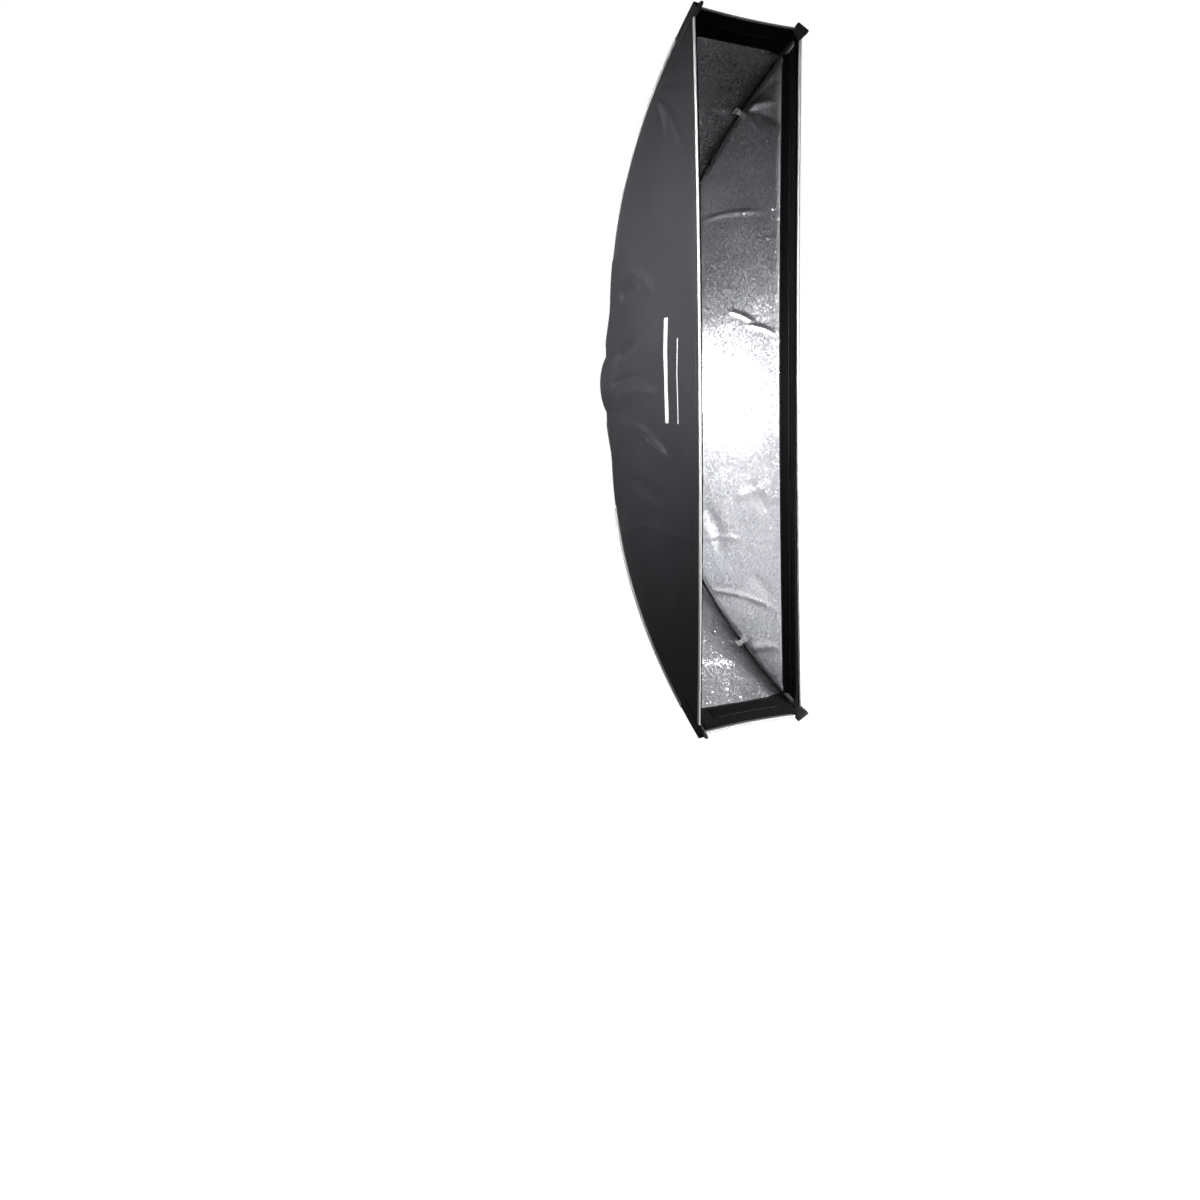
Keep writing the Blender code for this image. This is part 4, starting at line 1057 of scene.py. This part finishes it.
def piping(name, line, inward, stands_for):
    """A sleeve round a cord along a line, with a flange that reaches inward to the seam."""
    at, along = even_line(np.asarray(line, float), 0.002)
    into = np.asarray(inward, float)
    into = into - along * (along * into).sum(axis=1)[:, None]
    into /= np.linalg.norm(into, axis=1, keepdims=True)
    side = np.cross(along, into)
    swell = 1 + 0.05 * np.sin(math.tau * np.arange(len(at)) / 2.6) ** 2
    angles = np.linspace(math.radians(35), math.radians(325), 15)
    ring = [into * math.cos(a) + side * math.sin(a) for a in angles]
    section = [at + r * (PIPING_RADIUS * swell)[:, None] for r in ring]
    flange = [at + into * 0.0042 + side * (side_step * 0.0006) for side_step in (-1, 1)]
    points = np.stack([flange[1], *section, flange[0]], axis=1)
    mesh = surface(name, points, -into.mean(axis=0), closed=True)
    return piece(name, mesh, PIPING, "softbox", "piping", stands_for)


def seam_outward(s):
    """Away from the corner, half way between the two walls."""
    corner, along = seam(s), seam_tangent(s)
    front = xyz(HALF_WIDTH, RIM_Y, corner[..., 2])
    inward = front - corner
    inward = inward - along * (inward * along).sum(-1, keepdims=True)
    inward /= np.linalg.norm(inward, axis=-1, keepdims=True)
    side = np.cross(along, inward)
    side = side * np.sign(side[..., :1])
    both = side + end_normal(s)
    return both / np.linalg.norm(both, axis=-1, keepdims=True), side, inward


MIRROR = {(sx, sz): np.array([sx, 1, sz], float) for sx in (-1, 1) for sz in (-1, 1)}
for name, sx, sz in CORNERS:
    s = np.linspace(seam_share(0.262), POCKET_START + 0.004, 160)
    outward = seam_outward(s)[0]
    line = (seam(s) + outward * (PIPING_RADIUS + 0.0002)) * MIRROR[sx, sz]
    inward = even_line(line, 0.002)[0]
    share = np.linspace(0, 1, len(inward))
    reach = np.stack([np.interp(share, np.linspace(0, 1, 160), -outward[:, i]) for i in range(3)], -1)
    piping(f"seam_cord_{name}", line, reach * MIRROR[sx, sz], f"seam_piping_{name}")
for name, side in SIDES:
    z = np.linspace(-0.682, 0.682, 200)
    line = side_wall(z, np.zeros_like(z), side)
    line += np.array([-side * 0.0006, -PIPING_RADIUS - 0.0003, 0])
    piping(f"rim_cord_{name}", line, (0, 1, 0), f"rim_piping_{name}")
for name, end in ENDS:
    x = np.linspace(-0.136, 0.136, 60)
    waist = END_WAIST * (1 - (x / HALF_WIDTH) ** 2)
    line = xyz(x, RIM_Y - 0.0022, end * (HALF_HEIGHT + 0.0009 - waist))
    piping(f"rim_cord_{name}", line, (0, 0.8, -0.3 * end), f"rim_piping_{name}")
print("piping radius:", PIPING_RADIUS / MM, "mm")

# %% [markdown]
# ## Corner pockets
# At each corner of the rim a folded piece of heavy webbing holds the tip of its rod. It lies
# round the seam as a V, one leg on each wall, and its doubled end sticks out past the rim as a
# flat stitched nose. The V is a grid that goes across both legs and rounds the corner between
# them. The nose is a row of rounded rectangles that closes to a blunt end.

# %% Corner pockets
ROD_CLEARANCE = 0.008
NOSE_HALF_WIDTH, NOSE_HALF_THICK = 0.0142, 0.0046


def rod_line(s):
    clearance = ROD_CLEARANCE + 0.0045 * (1 - s) ** 6
    return seam(s) - clearance * (np.array([1.0, 0, 0]) + end_normal(s))


ROD_END = rod_line(np.array(1.0))
ROD_AIM = ROD_END - rod_line(np.array(0.99))
ROD_AIM /= np.linalg.norm(ROD_AIM)


def pocket_grid():
    s = np.linspace(POCKET_START, 0.97, 46)
    outward, side, inward = seam_outward(s)
    ends = end_normal(s)
    across_end = np.array([-1.0, 0, 0]) + 0 * side
    corner = seam(s)
    beyond = seam(np.array(1.0)) - corner[-1] + ROD_AIM * 0.0090
    extra = np.linspace(0, 1, 14)[1:, None] * beyond
    corner = np.vstack([corner, corner[-1] + extra])
    ways = (side, ends, inward, across_end)
    side, ends, inward, across_end = (np.vstack([a, np.repeat(a[-1:], 13, 0)]) for a in ways)
    leg = np.linspace(0.0205, 0.0155, len(corner))[:, None, None]
    w = np.linspace(-1, 1, 45)[None, :, None]
    turn = easing(w + 0.22, 0.44)
    normal = side[:, None] * (1 - turn) + ends[:, None] * turn
    normal /= np.linalg.norm(normal, axis=-1, keepdims=True)
    down = inward[:, None] * np.clip(-w, 0, 1) + across_end[:, None] * np.clip(w, 0, 1)
    lift = 0.0021 + 0.0009 * np.exp(-((w / 0.16) ** 2))
    lift = lift - 0.0009 * easing(np.abs(w) - 0.9, 0.1)
    wave = 0.0004 * np.sin(np.linspace(0, 21, len(corner)))[:, None, None] * np.sin(7 * w)
    return corner[:, None] + down * leg + normal * (lift + wave)


def rounded_rings(centre, along, wide, thick, sections, count=28, power=4.0):
    """Rounded rectangles along a line. A section is distance, half width, half thickness."""
    angles = np.linspace(0, math.tau, count, endpoint=False)
    c, s = np.cos(angles), np.sin(angles)
    bulge = (np.abs(c) ** power + np.abs(s) ** power) ** (-1 / power)
    rings = []
    for distance, half_wide, half_thick in sections:
        shape = (c * bulge * half_wide)[:, None] * wide + (s * bulge * half_thick)[:, None] * thick
        rings.append(centre + along * distance + shape)
    return np.stack(rings)


def lofted(name, rings):
    """A closed body from rings of points, with its faces turned outwards."""
    mesh = surface(name, rings, (0, 0, 1), closed=True)
    count, steps = rings.shape[1], rings.shape[0]
    work = bmesh.new()
    work.from_mesh(mesh)
    work.verts.ensure_lookup_table()
    for start in (0, (steps - 1) * count):
        work.faces.new([work.verts[start + i] for i in range(count)])
    bmesh.ops.recalc_face_normals(work, faces=work.faces)
    work.to_mesh(mesh)
    work.free()
    mesh.shade_smooth()
    mesh.set_sharp_from_angle(angle=math.radians(50))
    return mesh


def nose_rings():
    outward = seam_outward(np.array([0.97]))[0][0]
    outward = outward - ROD_AIM * (outward @ ROD_AIM)
    outward /= np.linalg.norm(outward)
    across = np.cross(ROD_AIM, outward)
    w, h = NOSE_HALF_WIDTH, NOSE_HALF_THICK
    sections = [
        (-0.016, 0.70 * w, 0.80 * h), (-0.006, 0.86 * w, 0.98 * h), (0.004, 0.98 * w, h),
        (0.0070, w, 0.97 * h), (0.0100, w, 0.90 * h), (0.0122, 0.985 * w, 0.82 * h),
        (0.0134, 0.95 * w, 0.68 * h), (0.0140, 0.89 * w, 0.42 * h),
    ]
    return rounded_rings(ROD_END, ROD_AIM, across, outward, sections), across, outward


POCKET, (NOSE, NOSE_ACROSS, NOSE_OUT) = pocket_grid(), nose_rings()
for name, sx, sz in CORNERS:
    mirror = MIRROR[sx, sz]
    fold = piece(
        f"pocket_{name}", surface("pocket", POCKET * mirror, (sx, 0.3, sz)), WEBBING,
        "softbox", "webbing", f"corner_pocket_{name}",
    )
    solid = fold.modifiers.new("webbing", "SOLIDIFY")
    solid.thickness, solid.offset = 0.0016, -1
    piece(f"pocket_nose_{name}", lofted("nose", NOSE * mirror), WEBBING, "softbox", "webbing")
    legs = [POCKET[2:-6, i] * mirror for i in (3, 5)], [POCKET[2:-6, i] * mirror for i in (-4, -6)]
    stitches(f"pocket_stitches_side_{name}", [legs[0][0]], (sx, 0, 0), slot="webbing")
    stitches(f"pocket_stitches_end_{name}", [legs[1][0]], (0, 0.5, sz), slot="webbing")
    bars = [POCKET[row, 3:-3] * mirror for row in (2, 4)]
    stitches(f"pocket_bar_{name}", bars, (sx, 0.4, sz), slot="webbing")
    face = ROD_END + ROD_AIM * np.array([[0.0060], [0.0095]]) + NOSE_OUT * (0.93 * NOSE_HALF_THICK)
    rows = [face[i] + NOSE_ACROSS * np.linspace(-0.012, 0.012, 12)[:, None] for i in range(2)]
    stitches(f"nose_stitches_{name}", [row * mirror for row in rows], NOSE_OUT * mirror, slot="webbing")
print("pockets:", len(CORNERS))

# %% [markdown]
# ## Rod loops
# Half way along each rod a white elastic loop, sewn into the seam, holds the rod against the
# corner. It comes out of one wall's lining, crosses over the rod and goes back into the other.
# The loop is a ribbon swept along that path in the plane across the rod, narrower where the
# rod draws it together.

# %% Rod loops
LOOP_HEIGHT, LOOP_WIDTH = 0.560, 0.013


def loop_grid():
    s = np.array([seam_share(LOOP_HEIGHT)])
    _, side, _ = seam_outward(s)
    into_x, into_z, along = -side[0], -end_normal(s)[0], seam_tangent(s)[0]
    middle, hold = ROD_CLEARANCE, 0.0040
    turn = np.radians(np.linspace(150, -60, 22))
    arc = np.stack([middle + hold * np.cos(turn), middle + hold * np.sin(turn)], -1)
    leg = [(0.0060, 0.0270), (0.0060, 0.0240), (0.0058, 0.0190), (0.0055, 0.0145)]
    path = np.vstack([leg, arc, [(b, a) for a, b in reversed(leg)]])
    run = np.linspace(0, 1, len(path))
    width = LOOP_WIDTH * (1.08 - 0.34 * np.exp(-(((run - 0.5) / 0.24) ** 2)))
    across = np.linspace(-0.5, 0.5, 13)
    gathers = 0.0003 * np.sin(across * 30)[None, :, None] * np.sin(run * math.pi)[:, None, None]
    base = seam(s)[0] + path[:, :1] * into_x + path[:, 1:] * into_z
    spread = along * (width[:, None] * across[None, :])[..., None]
    return base[:, None] + spread + gathers * (into_x + into_z)


LOOP = loop_grid()
for name, sx, sz in CORNERS:
    loop = piece(
        f"elastic_loop_{name}", surface("loop", LOOP * MIRROR[sx, sz], (-sx, 0, -sz)), WHITE_ELASTIC,
        "softbox", "white_elastic", f"rod_loop_{name}",
    )
    solid = loop.modifiers.new("elastic", "SOLIDIFY")
    solid.thickness, solid.offset = 0.0009, 1
print("loops at", LOOP_HEIGHT, "m from the middle")

# %% [markdown]
# ## Closure flaps
# Beside the ring the seams stay open, so a hand can reach the rods. A flap of the side wall
# folds over each opening onto the end wall and is held by hook-and-loop tape. The flap turns
# with its own body. The hook tape is sewn under the flap and turns with it, and its pile
# stays on the end wall.

# %% Closure flaps
FLAP_LOW, FLAP_HIGH, FLAP_WIDTH = 0.080, 0.258, 0.029


def flap_grid(sx, sz, start, stop, low, high, lift, edge_drop=0.0):
    """A strip on the outside of an end wall, from start to stop metres away from the seam."""
    run = np.linspace(0, 1, 90)[:, None]
    s = np.linspace(seam_share(low), seam_share(high), 90)[:, None]
    v = np.linspace(0, 1, 22)[None, :]
    half = slack_seam(s)[..., 0]
    away = start + (stop - start) * v
    u = (half - away) / half
    points = end_wall(s, u, 0.0, 1)
    lift = lift + end_folds(points * np.array([sx, 1, 1]), s, u, sz)
    ends = easing(run * 18, 1) * easing((1 - run) * 18, 1)
    drop = edge_drop * (1 - easing(1 - v, 0.12) * ends)
    return points + end_normal(s) * (lift - drop)[..., None]


def strip(name, grid, mirror, thickness, material, slot, body, stands_for=()):
    facing = (0, 1.0, 0.35 * mirror[2])
    return cloth(name, grid * mirror, grid, facing, thickness, material, slot, stands_for, body)


for name, sx, sz in CORNERS:
    mirror = MIRROR[sx, sz]
    body = f"flap_{name}"
    flap = flap_grid(sx, sz, 0.0002, FLAP_WIDTH, FLAP_LOW, FLAP_HIGH, 0.0019, 0.0004)
    strip(
        f"closure_flap_{name}", flap, mirror, 0.0008, POLYESTER, "black_cloth", body,
        [f"side_flap_{name}"],
    )
    hooks = flap_grid(sx, sz, 0.009, 0.025, FLAP_LOW + 0.012, FLAP_HIGH - 0.012, 0.00100)
    strip(f"closure_hooks_{name}", hooks, mirror, 0.0005, HOOK_TAPE, "loop_pile", body)
    pile = flap_grid(sx, sz, 0.008, 0.026, FLAP_LOW + 0.010, FLAP_HIGH - 0.010, 0.00042)
    strip(f"closure_pile_{name}", pile, mirror, 0.0004, LOOP_PILE, "loop_pile", "softbox")
    rows = [flap[3:-3, -3] * mirror, flap[3, 2:-2] * mirror, flap[-4, 2:-2] * mirror]
    stitches(f"flap_stitches_{name}", rows, (0, 1, 0.3 * sz), body=body)

# %% [markdown]
# ## The gathered neck
# The shell ends at the ring in an elastic hem. The cloth there is cut longer than the ring is
# round, so the elastic draws it into small even gathers. The hem is a closed band: from the
# shell's edge it rolls back over the elastic and runs down the ring's side, and a sine wave
# round it, stronger at the roll, makes the gathers.

# %% The gathered neck
RING_RADIUS, GATHERS = 0.0735, 44


def neck_outline(count=360):
    """The shell's edge round the ring, as evenly spaced points."""
    z = np.linspace(-NECK_HALF, NECK_HALF, 60)
    u = np.linspace(1, -1, 60)
    right = back_edge(z)
    top = end_wall(np.zeros(60), u, 0.0, 1)
    around = np.vstack([right, top, right[::-1] * [-1, 1, 1], top[::-1] * [1, 1, -1]])
    steps = np.linalg.norm(np.diff(around, axis=0), axis=1)
    run = np.concatenate([[0], np.cumsum(steps)]) / steps.sum()
    place = np.linspace(0, 1, count, endpoint=False)
    return np.stack([np.interp(place, run, around[:, i]) for i in range(3)], -1)


def neck_band():
    edge = neck_outline()
    out = edge * [1, 0, 1]
    wide = np.linalg.norm(out, axis=1, keepdims=True)
    out = out / wide
    wave = np.sin(np.arange(len(edge)) * math.tau * GATHERS / len(edge))[:, None]
    rows = []
    # each row: share of the way from the edge to the ring, steps outward and back, gather height
    for share, outward, back, gather in (
        (0.0, -0.0010, -0.006, 0.0), (0.0, -0.0010, -0.0025, 0.0002), (0.10, -0.0006, -0.0004, 0.0005),
        (0.40, 0.0000, 0.0006, 0.0009), (0.75, 0.0008, 0.0004, 0.0010), (1.0, 0.0020, -0.0012, 0.0009),
        (1.0, 0.0012, -0.0034, 0.0007), (1.0, 0.0006, -0.008, 0.0005), (1.0, 0.0005, -0.016, 0.0003),
    ):
        radius = wide + (RING_RADIUS + 0.0006 - wide) * share + outward + gather * wave
        y = edge[:, 1:2] * (1 - share) + (edge[:, 1:2] - 0.0020) * share + back + 0.4 * gather * wave
        rows.append(np.concatenate([out[:, :1] * radius, y, out[:, 2:] * radius], axis=1))
    return np.stack(rows)


band = piece(
    "gathered_neck", surface("gathered_neck", neck_band(), (0, 1, 0), closed=True), BLACK_ELASTIC,
    "softbox", "black_elastic", "neck_hem",
)
round_off = band.modifiers.new("round", "SUBSURF")
round_off.levels = round_off.render_levels = 1
solid = band.modifiers.new("band", "SOLIDIFY")
solid.thickness, solid.offset = 0.0007, -1
print("gathers:", GATHERS, "round", round(2 * RING_RADIUS, 3), "m")
